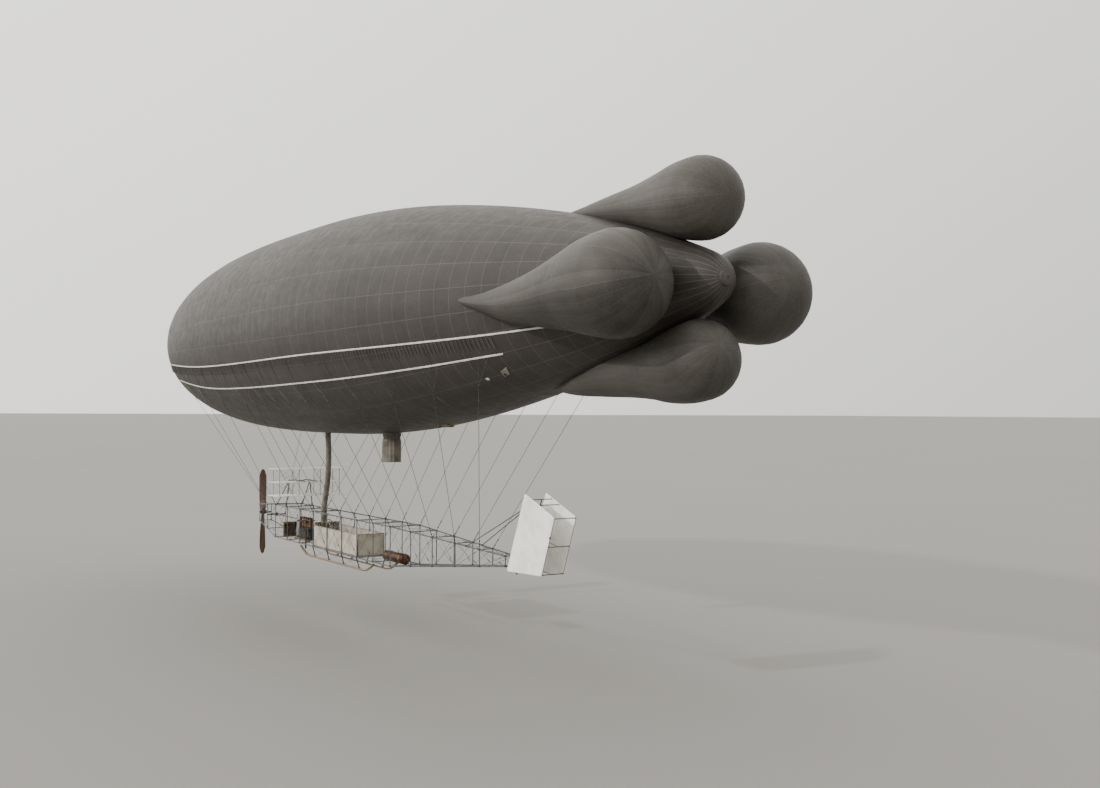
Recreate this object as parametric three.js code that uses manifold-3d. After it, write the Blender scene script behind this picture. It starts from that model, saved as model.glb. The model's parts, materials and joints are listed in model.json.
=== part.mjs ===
// Non-rigid airship of about 1908, as a 1:2 scale model. A long gas envelope carries four
// pear-shaped lobes at its tail. Belts and stays hang a lattice car under it, and the car
// carries the engine, a tractor propeller, a triplane elevator and a twin-plane rudder.
// Lengths are the real airship's in metres, and the whole model is scaled at the end.
// X runs forward, Y to port and Z up. A station is a distance forward of the tail's pole,
// and a height is measured from the envelope's axis.
import * as THREE from 'three';
import { mergeVertices } from 'three/addons/utils/BufferGeometryUtils.js';
import Module from 'manifold-3d';

const wasm = await Module();
wasm.setup();

// Scale and frame
const MODEL_SCALE = 0.5;
const MODEL_MM = 1000 * MODEL_SCALE; // model millimetres for each real metre
const LIFT_STATION = 29.3; // station of the centre of lift, where the origin lies
const GAP = 0.0006; // space left between touching pieces, 0.3 mm on the model
const PORT = 1;
const STARBOARD = -1;

// Envelope
const SKIN = 0.02; // wall, 10 mm on the model
const HULL_SIDES = 36;
// station, radius
const HULL = [
  [0, 0], [0.12, 0.4], [0.45, 0.73], [1, 0.98], [2, 1.33], [3.5, 1.83], [6, 2.55],
  [9, 3.2], [12, 3.78], [16, 4.42], [20, 4.9], [25, 5.22], [30.5, 5.29], [36, 5.24],
  [41, 5], [45, 4.58], [48.5, 3.95], [51.2, 3.18], [53.4, 2.28], [55, 1.4],
  [55.9, 0.72], [56.2, 0.34], [56.25, 0],
];
const LOBE_SIDES = 16;
const LOBE_BACK_STEPS = 4;
// share of the way from the bulb's centre to the tip, share of the bulb's radius, drop under the
// straight line between the two
const PEAR = [
  [0, 1, 0], [0.1, 0.94, 0], [0.22, 0.78, 0], [0.4, 0.56, 0], [0.6, 0.39, 0], [0.8, 0.21, 0], [1, 0, 0],
];
const SLUNG = [
  [0, 1, 0], [0.1, 0.94, 0.02], [0.22, 0.79, 0.09], [0.4, 0.59, 0.23], [0.6, 0.4, 0.3],
  [0.8, 0.19, 0.22], [1, 0, 0],
];
const WAISTED = [
  [0, 1, 0], [0.07, 0.98, 0.05], [0.17, 0.885, 0.08], [0.27, 0.745, 0.07], [0.4, 0.64, 0.03],
  [0.6, 0.51, 0], [0.8, 0.34, 0], [0.92, 0.17, 0], [1, 0, 0],
];
// name, form, bulb radius, bulb station, bulb y, bulb z, tip station, tip y, tip z
const LOBES = [
  ['lobe_top', PEAR, 1.33, 1.2, 0, 2.58, 9.06, 0, 3.05],
  ['lobe_bottom', WAISTED, 1.29, 1.28, 0, -2.49, 9.95, 0, -3.26],
  ['lobe_port', SLUNG, 1.685, 1.7, 2.86, -0.22, 11.4, 3.44, -0.02],
  ['lobe_starboard', SLUNG, 1.685, 1.7, -2.86, -0.22, 11.4, -3.44, -0.02],
];

// Fittings on the envelope
const NECK = { station: 24, radius: 0.45, reach: 1.35, sides: 16 };
const CAP = { depth: 0.5, sides: 16 };
const NOSE_CAP = { radius: 0.42, proud: 0.08 };
const TAIL_CAP = { radius: 0.26, proud: 0.05 };
const VALVE = { radius: 0.4, proud: 0.09, sides: 16 };
// name, station, y, z of the point on the skin that each valve stands on
const VALVES = [
  ['gas_valve_aft', 18.5, 0, -4.7],
  ['gas_valve_fore', 42, 0, -4.87],
  ['gas_valve_top', 33, 0, 5.26],
];
const SIDE_VALVE = { station: 9.88, y: 2.07, z: -2.66, radius: 0.24, hole: 0.1, proud: 0.04, depth: 0.2 };

// Belts and stays
const BELT = { width: 0.11, thickness: 0.02, strapWidth: 0.07, strapPitch: 1.9, strapInset: 0.3 };
// station, height of the belt's middle
const UPPER_BELT = [[6.6, -1.29], [13.6, -1.49], [22, -1.7], [38, -1.78], [50.4, -1.22]];
const LOWER_BELT = [[9.6, -2.05], [14.3, -2.38], [22, -2.83], [38, -2.95], [46.8, -2.32]];
const STAY_RADIUS = 0.016;
const STAY_SIDES = 6;
// group, station where its belts start, where they end, stays as car station and belt station
const SUSPENSION = [
  ['aft', 6.6, 21.5, [[14.9, 10.6], [16.8, 13.6], [18.7, 16.7], [20.6, 19.7]]],
  ['mid', 21.5, 33.6,
    [[22.5, 22.6], [24.4, 25], [26.3, 27.1], [28.2, 28.8], [30.1, 30.4], [32, 31.9], [33.9, 33.3]]],
  ['fore', 33.6, 50.4, [[37.7, 37.3], [39.6, 41.2], [39.6, 44.5]]],
];

// Car: a girder of four longerons and square frames
const BAY = 1.9;
const CAR_REAR = 13;
const LONGERON = 0.03;
const FRAME_TUBE = 0.022;
const FOOT_CLEAR = 0.035; // from a longeron's skin to the end of a slanting tube over it
const TUBE_SIDES = 6;
// station, half width, bottom, top
const CAR_SHAPE = [
  [13, 0.2, -10.2, -9.8], [22.5, 0.75, -11.2, -9.4], [37.7, 0.75, -11.2, -9.4],
  [41.5, 0.35, -10.6, -9.65],
];
const CAR_LOW = CAR_SHAPE[1][2];
const CAR_TOP = CAR_SHAPE[1][3];
const CAR_HALF = CAR_SHAPE[1][1];
const DECK = CAR_LOW + FRAME_TUBE + GAP; // where things rest on the lower frame tubes
// name, first bay, last bay
const GIRDERS = [['girder_aft', 0, 6], ['girder_mid', 6, 11], ['girder_fore', 11, 15]];
const PIT = { rear: 26.3, front: 32, wallTop: -10.1, sheet: 0.03, dashRise: 0.15 };
// from the pit's rear to the seat, and the seat's own sizes
const BENCH = {
  inset: 0.5, depth: 0.45, halfWidth: 0.55, height: 0.4, plank: 0.04,
  legInset: 0.05, legY: 0.48, legHalf: 0.02,
};
const HAND_WHEEL = { rim: 0.02, spoke: 0.012, column: 0.03, standOff: 0.12 };
// name, centre's station, y, z, the way its axle points to the crew, radius
const HAND_WHEELS = [
  ['rudder_wheel', 31.6, 0.1, -10.15, [-1, 0, 0], 0.34],
  ['elevator_wheel', 30.9, 0.35, -10.2, [0, -1, 0], 0.3],
];
const SKID = {
  y: 0.62, half: 0.06, depth: 0.6, thick: 0.09, rear: 24.6, front: 34.1, curve: 0.9, toeRise: 0.44,
  strut: 0.028, struts: [26.3, 28.2, 30.1, 32],
};
const TANK = { rear: 22.4, front: 24.5, radius: 0.25, sides: 16 };

// Engine in one bay, with its gearbox in front. Stations are counted from the bay's rear frame.
const ENGINE_BAY = 11;
const BEARER = { y: 0.24, half: 0.06, height: 0.1, overhang: 0.1, crossbar: 0.4 };
const ENGINE = {
  rear: 0.14, front: 1.56, half: 0.3, crankcase: 0.55, cylinders: [0.35, 0.68, 1.01, 1.34], bore: 0.145,
  height: 1.15,
};
const GEARBOX = { front: 2, half: 0.24, aboveShaft: 0.2, nose: 0.12 };
const EXHAUST = { y: 0.36, rise: 0.95, stub: 0.035, pipe: 0.045, front: 1.4, outlet: 0.35 };
const RADIATOR = { rear: 37, depth: 0.16, half: 0.5, underShaft: 0.22 };
const BLOWER = {
  station: 32.95, y: -0.3, rise: 0.42, radius: 0.36, half: 0.14, outlet: 0.24, outletHalf: 0.12,
  outletRise: 0.75, footHalf: 0.25, footHalfWidth: 0.1,
};
// the duct's bends above the blower's outlet, as station, y, z
const DUCT = { radius: 0.15, overlap: 0.1, straight: 0.8, bends: [[32.3, -0.2, -7], [31.9, 0, -4.9]] };

// Propeller and its drive
const SHAFT = { z: -10.12, radius: 0.035, rear: 36.1 };
const BEARING = { half: 0.06, ring: 0.1, bar: 0.03, clearance: 0.006 };
const PROPELLER = { station: 42.02, diameter: 5, chord: 0.42, thickness: 0.09, pitch: 3.6 };
const HUB = { radius: 0.17, half: 0.1, plate: 0.035, nut: 0.06, nutRadius: 0.07 };

// Elevator: three planes that tilt on a hinge tube between two masts
const ELEVATOR = {
  hinge: 36, z: -8, gap: 0.72, chord: 1.35, halfSpan: 1.95, plate: 0.05, lead: 0.45, mast: 0.6,
  strut: 0.022, strutY: [-1.7, -0.6, 0.6, 1.7], frontStrut: 0.15, rearStrut: 0.25,
  armY: 0.35, armHalf: 0.03, sleeve: 0.065, bore: 0.038, hingeTube: 0.032, brace: 0.026, braceRun: 1.5,
};

// Rudder: two planes side by side on one leaning post, as a side outline of station and height
const RUDDER = {
  topLead: [11.1, -7.22], topTrail: [8.99, -8], lowTrail: [9.87, -10.22], lowLead: [12.42, -10.31],
  offset: 0.47, plate: 0.03, post: 0.04, postClearance: 0.008, sleeve: 0.065, sleeveHalf: 0.12,
  tube: 0.022, spar: 0.025, sparShare: 0.22, bracket: 0.03, braceFoot: 15.9,
};
// share of the leading edge's height, share of the trailing edge's height
const RUDDER_LEVELS = [[0.09, 0.02], [0.5, 0.5], [0.92, 0.97]];

// Finishes: colour, roughness, metalness
const FINISH = {
  fabric: [0x57534c, 0.7, 0],
  band: [0xd8d4c8, 0.8, 0],
  canvas: [0xe2dfd6, 0.8, 0],
  steel: [0x5d6063, 0.45, 0.8],
  iron: [0x3c3c3d, 0.6, 0.7],
  brass: [0xa98a4c, 0.35, 1],
  copper: [0x8a5f43, 0.4, 1],
  wood: [0x7b5230, 0.55, 0],
  aluminium: [0xa9abad, 0.4, 1],
};

// Solids: closed meshes that can be cut and joined
function asSolid(geometry) {
  const bare = geometry.clone();
  bare.deleteAttribute('normal');
  bare.deleteAttribute('uv');
  const merged = mergeVertices(bare, 1e-5);
  const position = merged.attributes.position;
  const corner = (i) => new THREE.Vector3().fromBufferAttribute(position, i);
  const triangles = [];
  let volume = 0;
  for (let i = 0; i < merged.index.count; i += 3) {
    const [a, b, c] = [0, 1, 2].map((k) => merged.index.getX(i + k));
    if (a === b || b === c || c === a) continue;
    triangles.push([a, b, c]);
    volume += corner(a).dot(corner(b).cross(corner(c)));
  }
  const ordered = triangles.map(([a, b, c]) => (volume < 0 ? [a, c, b] : [a, b, c]));
  return new wasm.Manifold(new wasm.Mesh({
    numProp: 3,
    vertProperties: new Float32Array(position.array),
    triVerts: new Uint32Array(ordered.flat()),
  }));
}

const join = (solids) => solids.reduce((whole, solid) => whole.add(solid));

function asGeometry(solid) {
  const mesh = solid.getMesh();
  const geometry = new THREE.BufferGeometry();
  geometry.setAttribute('position', new THREE.BufferAttribute(mesh.vertProperties, mesh.numProp));
  geometry.setIndex(new THREE.BufferAttribute(mesh.triVerts, 1));
  geometry.computeVertexNormals();
  return geometry;
}

const vec = (x, y, z) => new THREE.Vector3(x, y, z);

function box(xs, ys, zs) {
  const size = [xs, ys, zs].map(([low, high]) => high - low);
  const geometry = new THREE.BoxGeometry(...size);
  geometry.translate(...[xs, ys, zs].map(([low, high]) => (low + high) / 2));
  return asSolid(geometry);
}

// Turns a geometry made along +X so that it runs from one point towards another.
function aim(geometry, from, to) {
  const turn = new THREE.Quaternion().setFromUnitVectors(vec(1, 0, 0), to.clone().sub(from).normalize());
  return geometry.applyQuaternion(turn).translate(from.x, from.y, from.z);
}

function tube(from, to, radius, sides = TUBE_SIDES) {
  const length = from.distanceTo(to);
  const geometry = new THREE.CylinderGeometry(radius, radius, length, sides);
  geometry.rotateZ(-Math.PI / 2).translate(length / 2, 0, 0);
  return asSolid(aim(geometry, from, to));
}

function sleeve(from, to, outer, bore, sides = 12) {
  const along = to.clone().sub(from).normalize().multiplyScalar(0.1);
  const hole = tube(from.clone().sub(along), to.clone().add(along), bore, sides);
  return tube(from, to, outer, sides).subtract(hole);
}

// A plate cut from a side outline of station and height, between two values of y
function plate(outline, [low, high]) {
  const shape = new THREE.Shape(outline.map(([x, z]) => new THREE.Vector2(x, z)));
  const geometry = new THREE.ExtrudeGeometry(shape, { depth: high - low, bevelEnabled: false });
  return asSolid(geometry.rotateX(Math.PI / 2).translate(0, high, 0));
}

// Value of a column of a table at a station, straight between its rows
function lookUp(table, station, column = 1) {
  const after = Math.max(1, table.findIndex((row) => row[0] >= station - 1e-9));
  const [low, high] = [table[after - 1], table[after]];
  const share = (station - low[0]) / (high[0] - low[0]);
  return THREE.MathUtils.lerp(low[column], high[column], share);
}

// Moves a profile outwards along its own normals. Its ends stay on the axis.
function offsetProfile(profile, distance) {
  return profile.map(([x, r], i) => {
    const before = profile[Math.max(i - 1, 0)];
    const after = profile[Math.min(i + 1, profile.length - 1)];
    if (i === 0) return [x - distance, 0];
    if (i === profile.length - 1) return [x + distance, 0];
    const normal = new THREE.Vector2(before[1] - after[1], after[0] - before[0]).normalize();
    return [x + normal.x * distance, r + normal.y * distance];
  });
}

// Turns a profile of distance and radius round the X axis.
function turned(profile, sides) {
  const points = profile.map(([x, r]) => new THREE.Vector2(r, x));
  return new THREE.LatheGeometry(points, sides).rotateZ(-Math.PI / 2);
}

// Envelope
const hullSolid = (distance) => asSolid(turned(offsetProfile(HULL, distance), HULL_SIDES));
const hullOuter = hullSolid(0);
const hullClear = hullSolid(GAP);
const hullBelted = hullSolid(GAP + BELT.thickness);
const HULL_LENGTH = HULL.at(-1)[0];
const HULL_RADIUS = Math.max(...HULL.map(([, radius]) => radius));

function neckTube(radius) {
  const { station, reach, sides } = NECK;
  const hullBottom = -lookUp(HULL, station);
  return tube(vec(station, 0, hullBottom - reach), vec(station, 0, hullBottom + 0.5), radius, sides);
}

function envelopePanels() {
  const shell = hullOuter.subtract(hullSolid(-SKIN)).subtract(neckTube(NECK.radius - SKIN));
  const far = HULL_RADIUS + 1;
  const half = GAP / 2;
  const along = [-1, HULL_LENGTH + 1];
  // name, range of y, range of z
  const quarters = [
    ['envelope_top_port', [half, far], [half, far]],
    ['envelope_top_starboard', [-far, -half], [half, far]],
    ['envelope_bottom_port', [half, far], [-far, -half]],
    ['envelope_bottom_starboard', [-far, -half], [-far, -half]],
  ];
  return quarters.map(([name, ys, zs]) => [name, shell.intersect(box(along, ys, zs)), 'fabric']);
}

// A lobe is a hollow pear, open where it lies against the envelope.
function pearProfile(form, radius, length) {
  const back = Array.from({ length: LOBE_BACK_STEPS }, (_, i) => {
    const angle = (i / LOBE_BACK_STEPS) * (Math.PI / 2);
    return [-radius * Math.cos(angle), radius * Math.sin(angle)];
  });
  return [...back, ...form.map(([along, share]) => [along * length, share * radius])];
}

// Lowers each ring of a lobe by the drop that its form gives.
function sag(geometry, form, bulb, tip) {
  const way = tip.clone().sub(bulb);
  const position = geometry.attributes.position;
  for (let i = 0; i < position.count; i += 1) {
    const share = vec(0, 0, 0).fromBufferAttribute(position, i).sub(bulb).dot(way) / way.lengthSq();
    const drop = lookUp(form, THREE.MathUtils.clamp(share, 0, 1), 2);
    position.setZ(i, position.getZ(i) - drop);
  }
  return geometry;
}

function lobe([name, form, radius, ...places]) {
  const bulb = vec(...places.slice(0, 3));
  const tip = vec(...places.slice(3));
  const profile = pearProfile(form, radius, bulb.distanceTo(tip));
  const pear = (distance) => asSolid(
    sag(aim(turned(offsetProfile(profile, distance), LOBE_SIDES), bulb, tip), form, bulb, tip));
  return [name, pear(0).subtract(pear(-SKIN)).subtract(hullClear), 'fabric'];
}

function envelopeFittings() {
  const neck = neckTube(NECK.radius).subtract(neckTube(NECK.radius - SKIN));
  const lower = box(
    [NECK.station - 1, NECK.station + 1], [-1, 1],
    [-lookUp(HULL, NECK.station) - NECK.reach + 0.01, 0]);
  const nose = tube(
    vec(HULL_LENGTH - CAP.depth, 0, 0), vec(HULL_LENGTH + NOSE_CAP.proud, 0, 0),
    NOSE_CAP.radius, CAP.sides);
  const tail = tube(vec(-TAIL_CAP.proud, 0, 0), vec(CAP.depth, 0, 0), TAIL_CAP.radius, CAP.sides);
  const valves = VALVES.map(([name, station, y, z]) => {
    const skin = vec(station, y, z);
    const rim = vec(station, y, z + Math.sign(z) * VALVE.proud);
    return [name, tube(skin, rim, VALVE.radius, VALVE.sides).subtract(hullClear), 'brass'];
  });
  const side = vec(SIDE_VALVE.station, SIDE_VALVE.y, SIDE_VALVE.z);
  const outward = vec(0, side.y, side.z).normalize();
  const sideValve = sleeve(
    side.clone().addScaledVector(outward, -SIDE_VALVE.depth),
    side.clone().addScaledVector(outward, SIDE_VALVE.proud), SIDE_VALVE.radius, SIDE_VALVE.hole);
  return [
    ['inflation_neck', neck.intersect(lower).subtract(hullClear), 'fabric'],
    ['nose_cap', nose.subtract(hullClear), 'aluminium'],
    ['tail_cap', tail.subtract(hullClear), 'aluminium'],
    ...valves,
    ['side_valve', sideValve.subtract(hullClear), 'band'],
  ];
}

// Belts and stays
function beltStrip(belt, from, to) {
  const start = Math.max(from, belt[0][0]);
  const end = Math.min(to, belt.at(-1)[0]);
  const inner = belt.filter(([x]) => x > start && x < end).map(([x]) => x);
  const stations = [start, ...inner, end];
  const edge = (sign) => stations.map((x) => [x, lookUp(belt, x) + sign * BELT.width / 2]);
  return plate([...edge(-1), ...edge(1).reverse()], [0.3, HULL_RADIUS + 1]);
}

function beltStraps(from, to) {
  const first = Math.max(from, LOWER_BELT[0][0]) + BELT.strapInset;
  const last = Math.min(to, LOWER_BELT.at(-1)[0]) - BELT.strapInset;
  const count = Math.round((last - first) / BELT.strapPitch);
  return Array.from({ length: count + 1 }, (_, i) => {
    const x = THREE.MathUtils.lerp(first, last, i / count);
    return box(
      [x - BELT.strapWidth / 2, x + BELT.strapWidth / 2], [0.3, HULL_RADIUS + 1],
      [lookUp(LOWER_BELT, x), lookUp(UPPER_BELT, x)]);
  });
}

function carPoint(station, side, column) {
  return vec(station, side * lookUp(CAR_SHAPE, station, 1), lookUp(CAR_SHAPE, station, column));
}

// Each stay starts under its belt, inside the skin, and the skin's room is cut away after.
function stay(carStation, beltStation) {
  const z = lookUp(LOWER_BELT, beltStation);
  const skinY = Math.sqrt(lookUp(HULL, beltStation) ** 2 - z * z);
  const top = vec(beltStation, skinY - 0.01, z);
  const foot = carPoint(carStation, PORT, 3);
  const clear = top.clone().sub(foot).normalize().multiplyScalar(LONGERON + FOOT_CLEAR / 2);
  return tube(foot.add(clear), top, STAY_RADIUS, STAY_SIDES);
}

function suspension([group, from, to, stays]) {
  const ends = [from + GAP, to - GAP];
  const strips = [beltStrip(UPPER_BELT, ...ends), beltStrip(LOWER_BELT, ...ends), ...beltStraps(...ends)];
  const belts = join(strips).intersect(hullBelted);
  const port = join([belts, ...stays.map((row) => stay(...row))]).subtract(hullClear);
  return [
    [`suspension_${group}_port`, port, 'band'],
    [`suspension_${group}_starboard`, port.mirror([0, 1, 0]), 'band'],
  ];
}

// Car
const frameStation = (bay) => CAR_REAR + bay * BAY;

// Each longeron is straight from bend to bend, and sections meet end to end.
function girder([name, firstBay, lastBay]) {
  const corners = [[PORT, 3], [PORT, 2], [STARBOARD, 2], [STARBOARD, 3]];
  const [rear, front] = [frameStation(firstBay), frameStation(lastBay)];
  const isShared = firstBay > 0;
  const bends = CAR_SHAPE.map(([x]) => x).filter((x) => x > rear + 0.1 && x < front - 0.1);
  const longerons = corners.flatMap(([side, column]) => {
    const points = [rear, ...bends, front].map((x) => carPoint(x, side, column));
    return points.slice(1).map((to, i) => {
      const along = to.clone().sub(points[i]).normalize();
      const start = points[i].clone().addScaledVector(along, i || !isShared ? -FRAME_TUBE : FRAME_TUBE + GAP);
      return tube(start, to.addScaledVector(along, FRAME_TUBE), LONGERON);
    });
  });
  const frames = [];
  for (let bay = firstBay + (isShared ? 1 : 0); bay <= lastBay; bay += 1) {
    const station = frameStation(bay);
    const isOverPit = station > PIT.rear + 0.1 && station < PIT.front - 0.1;
    const at = corners.map(([side, column]) => carPoint(station, side, column));
    const sides = isOverPit ? [0, 1, 2] : [0, 1, 2, 3];
    frames.push(...sides.map((i) => tube(at[i], at[(i + 1) % 4], FRAME_TUBE)));
  }
  return [name, join([...longerons, ...frames]), 'steel'];
}

function pit() {
  const { rear, front, wallTop, sheet, dashRise } = PIT;
  const floorTop = DECK + sheet;
  const outer = CAR_HALF - LONGERON - GAP;
  const inner = outer - sheet;
  const along = [rear + LONGERON + GAP, front - LONGERON - GAP];
  const walls = [floorTop + GAP, wallTop];
  const side = box(along, [inner, outer], walls);
  const across = [-inner + GAP, inner - GAP];
  const seatRear = rear + BENCH.inset;
  const seatLow = floorTop + BENCH.height;
  const legs = [-BENCH.legY, BENCH.legY].map((y) => box(
    [seatRear + BENCH.legInset, seatRear + BENCH.depth - BENCH.legInset],
    [y - BENCH.legHalf, y + BENCH.legHalf], [floorTop + GAP, seatLow + BENCH.plank / 2]));
  const seat = box(
    [seatRear, seatRear + BENCH.depth], [-BENCH.halfWidth, BENCH.halfWidth],
    [seatLow, seatLow + BENCH.plank]);
  return [
    ['pit_floor', box(along, [-outer, outer], [DECK, floorTop]), 'wood'],
    ['pit_side_port', side, 'canvas'],
    ['pit_side_starboard', side.mirror([0, 1, 0]), 'canvas'],
    ['pit_dash', box([along[1] - sheet, along[1]], across, [walls[0], wallTop + dashRise]), 'aluminium'],
    ['pit_back', box([along[0], along[0] + sheet], across, walls), 'canvas'],
    ['crew_bench', join([seat, ...legs]), 'wood'],
  ];
}

// A hand wheel on a column from the pit's floor, its axle pointing along x or y
function handWheel([name, station, y, z, way, radius]) {
  const { rim, spoke, column, standOff } = HAND_WHEEL;
  const centre = vec(station, y, z);
  const axle = vec(...way);
  const head = centre.clone().addScaledVector(axle, -standOff);
  const foot = head.clone().setZ(DECK + PIT.sheet + GAP);
  const ring = asSolid(aim(
    new THREE.TorusGeometry(radius, rim, 6, 18).rotateY(Math.PI / 2), centre, centre.clone().add(axle)));
  const across = axle.x ? vec(0, 1, 0) : vec(1, 0, 0);
  const spokes = [across, vec(0, 0, 1)].map((line) => tube(
    centre.clone().addScaledVector(line, -radius), centre.clone().addScaledVector(line, radius), spoke, 4));
  const hubRear = head.clone().addScaledVector(axle, -column * 1.5);
  const hubFront = centre.clone().addScaledVector(axle, column);
  const whole = join([ring, ...spokes, tube(hubRear, hubFront, column, 8), tube(foot, head, column, 8)]);
  return [name, whole, 'wood'];
}

function engineBed(bayRear) {
  const { y, half, height, overhang, crossbar } = BEARER;
  const along = [bayRear - overhang, bayRear + BAY + overhang];
  const bearers = [y, -y].map((at) => box(along, [at - half, at + half], [DECK, DECK + height]));
  const bar = box(
    [bayRear + crossbar, bayRear + crossbar + overhang], [-y, y], [DECK + 0.2 * height, DECK + 0.9 * height]);
  return join([...bearers, bar]);
}

function machinery() {
  const bayRear = frameStation(ENGINE_BAY);
  const blockLow = DECK + BEARER.height + GAP;
  const nearTop = blockLow + ENGINE.crankcase - 0.05;
  const cylinders = ENGINE.cylinders.map((x) => tube(
    vec(bayRear + x, 0, nearTop), vec(bayRear + x, 0, blockLow + ENGINE.height), ENGINE.bore, 12));
  const block = box(
    [bayRear + ENGINE.rear, bayRear + ENGINE.front], [-ENGINE.half, ENGINE.half],
    [blockLow, blockLow + ENGINE.crankcase]);
  const gearFront = bayRear + GEARBOX.front;
  const gearbox = join([
    box([bayRear + ENGINE.front + GAP, gearFront], [-GEARBOX.half, GEARBOX.half],
      [blockLow, SHAFT.z + GEARBOX.aboveShaft]),
    tube(vec(gearFront - 0.1, 0, SHAFT.z), vec(SHAFT.rear - 0.01, 0, SHAFT.z), GEARBOX.nose, 12),
  ]);
  const pipeZ = blockLow + EXHAUST.rise;
  const stubs = ENGINE.cylinders.map((x) => tube(
    vec(bayRear + x, ENGINE.bore + GAP, pipeZ), vec(bayRear + x, EXHAUST.y, pipeZ), EXHAUST.stub, 8));
  const elbow = vec(bayRear + ENGINE.rear, EXHAUST.y, pipeZ);
  const overElbow = elbow.clone().setZ(pipeZ + EXHAUST.pipe / 1.5);
  const exhaust = join([
    ...stubs,
    tube(vec(bayRear + EXHAUST.front, EXHAUST.y, pipeZ), elbow, EXHAUST.pipe, 8),
    tube(overElbow, elbow.clone().setZ(CAR_LOW - EXHAUST.outlet), EXHAUST.pipe, 8),
  ]);
  const radiator = box(
    [RADIATOR.rear, RADIATOR.rear + RADIATOR.depth], [-RADIATOR.half, RADIATOR.half],
    [DECK, SHAFT.z - RADIATOR.underShaft]);
  const tankZ = DECK + TANK.radius;
  const tank = tube(vec(TANK.rear, 0, tankZ), vec(TANK.front, 0, tankZ), TANK.radius, TANK.sides);
  return [
    ['engine_bed', engineBed(bayRear), 'wood'],
    ['engine', join([block, ...cylinders]), 'iron'],
    ['gearbox', gearbox, 'aluminium'],
    ['exhaust_pipe', exhaust, 'iron'],
    ['radiator', radiator, 'brass'],
    ['fuel_tank', tank, 'copper'],
  ];
}

// The blower fills an air bag inside the envelope through a fabric duct.
function airSupply() {
  const { station, y, rise, radius, half, outlet, outletHalf, outletRise, footHalf, footHalfWidth } = BLOWER;
  const z = DECK + rise;
  const outletTop = z + outletRise;
  const outletX = station + outlet;
  const blower = join([
    tube(vec(station, y - half, z), vec(station, y + half, z), radius, 20),
    box([outletX - outletHalf, outletX + outletHalf], [y - outletHalf, y + outletHalf], [z, outletTop]),
    box([station - footHalf, station + footHalf], [y - footHalfWidth, y + footHalfWidth], [DECK, z]),
  ]);
  const section = new THREE.Shape().absarc(0, 0, DUCT.radius, 0, 2 * Math.PI);
  const route = new THREE.CatmullRomCurve3([
    vec(outletX, y, outletTop - DUCT.overlap), vec(outletX, y, outletTop + DUCT.straight),
    ...DUCT.bends.map((bend) => vec(...bend)),
  ]);
  const duct = asSolid(new THREE.ExtrudeGeometry(section, {
    extrudePath: route, steps: 12, curveSegments: 5, bevelEnabled: false,
  }));
  const aboveOutlet = box([station - 2, station + 1], [-1, 1], [outletTop + GAP, 0]);
  return [
    ['blower', blower, 'aluminium'],
    ['air_duct', duct.subtract(hullClear).intersect(aboveOutlet), 'fabric'],
  ];
}

// A runner with both ends curved up, on struts from the girder's lower longeron
function landingSkid() {
  const { y, half, depth, thick, rear, front, curve, toeRise, strut, struts } = SKID;
  const low = CAR_LOW - depth;
  const toe = low + toeRise;
  const runner = plate([
    [rear, toe], [rear + curve, low], [front - curve, low], [front, toe],
    [front - thick, toe + 0.06], [front - curve - 0.05, low + thick],
    [rear + curve + 0.05, low + thick], [rear + thick, toe + 0.06],
  ], [y - half, y + half]);
  const strutTop = CAR_LOW - LONGERON - 0.008;
  const legs = struts.map((x) => tube(vec(x, y, low + thick / 2), vec(x, CAR_HALF, strutTop), strut));
  return join([runner, ...legs]);
}

// Propeller and its drive
function shaftBearing(station) {
  const { half, ring, bar, clearance } = BEARING;
  const halfWidth = lookUp(CAR_SHAPE, station) - FRAME_TUBE - GAP;
  const beam = box(
    [station - bar, station + bar], [-halfWidth, halfWidth], [SHAFT.z - bar, SHAFT.z + bar]);
  const onAxis = (x) => vec(x, 0, SHAFT.z);
  const housing = tube(onAxis(station - half), onAxis(station + half), ring, 12);
  const bore = tube(
    onAxis(station - 2 * half), onAxis(station + 2 * half), SHAFT.radius + clearance, 12);
  return join([beam, housing]).subtract(bore);
}

// A twisted blade out to one side of the shaft. The chord swells to its full width and rounds off.
function blade(sign) {
  const radius = PROPELLER.diameter / 2;
  const leastRadius = 0.55; // the twist stays the same inside this
  const geometry = new THREE.BoxGeometry(radius, 1, 1, 10, 4, 1);
  const position = geometry.attributes.position;
  for (let i = 0; i < position.count; i += 1) {
    const out = position.getX(i) / radius + 0.5;
    const across = position.getY(i);
    const swell = 0.42 + 1.1 * Math.sin(Math.PI * Math.min(out + 0.08, 1) * 0.86) - 0.42 * out ** 8;
    const chord = PROPELLER.chord * Math.min(swell, 1) * across;
    const round = Math.sqrt(1.06 - 0.94 * (2 * across) ** 2);
    const depth = PROPELLER.thickness * (1.6 - 1.3 * out) * round * position.getZ(i);
    const twist = Math.atan2(PROPELLER.pitch, 2 * Math.PI * Math.max(out * radius, leastRadius));
    const [cos, sin] = [Math.cos(twist), Math.sin(twist)];
    position.setXYZ(i, sign * (chord * sin + depth * cos), chord * cos - depth * sin, sign * out * radius);
  }
  return asSolid(geometry);
}

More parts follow.
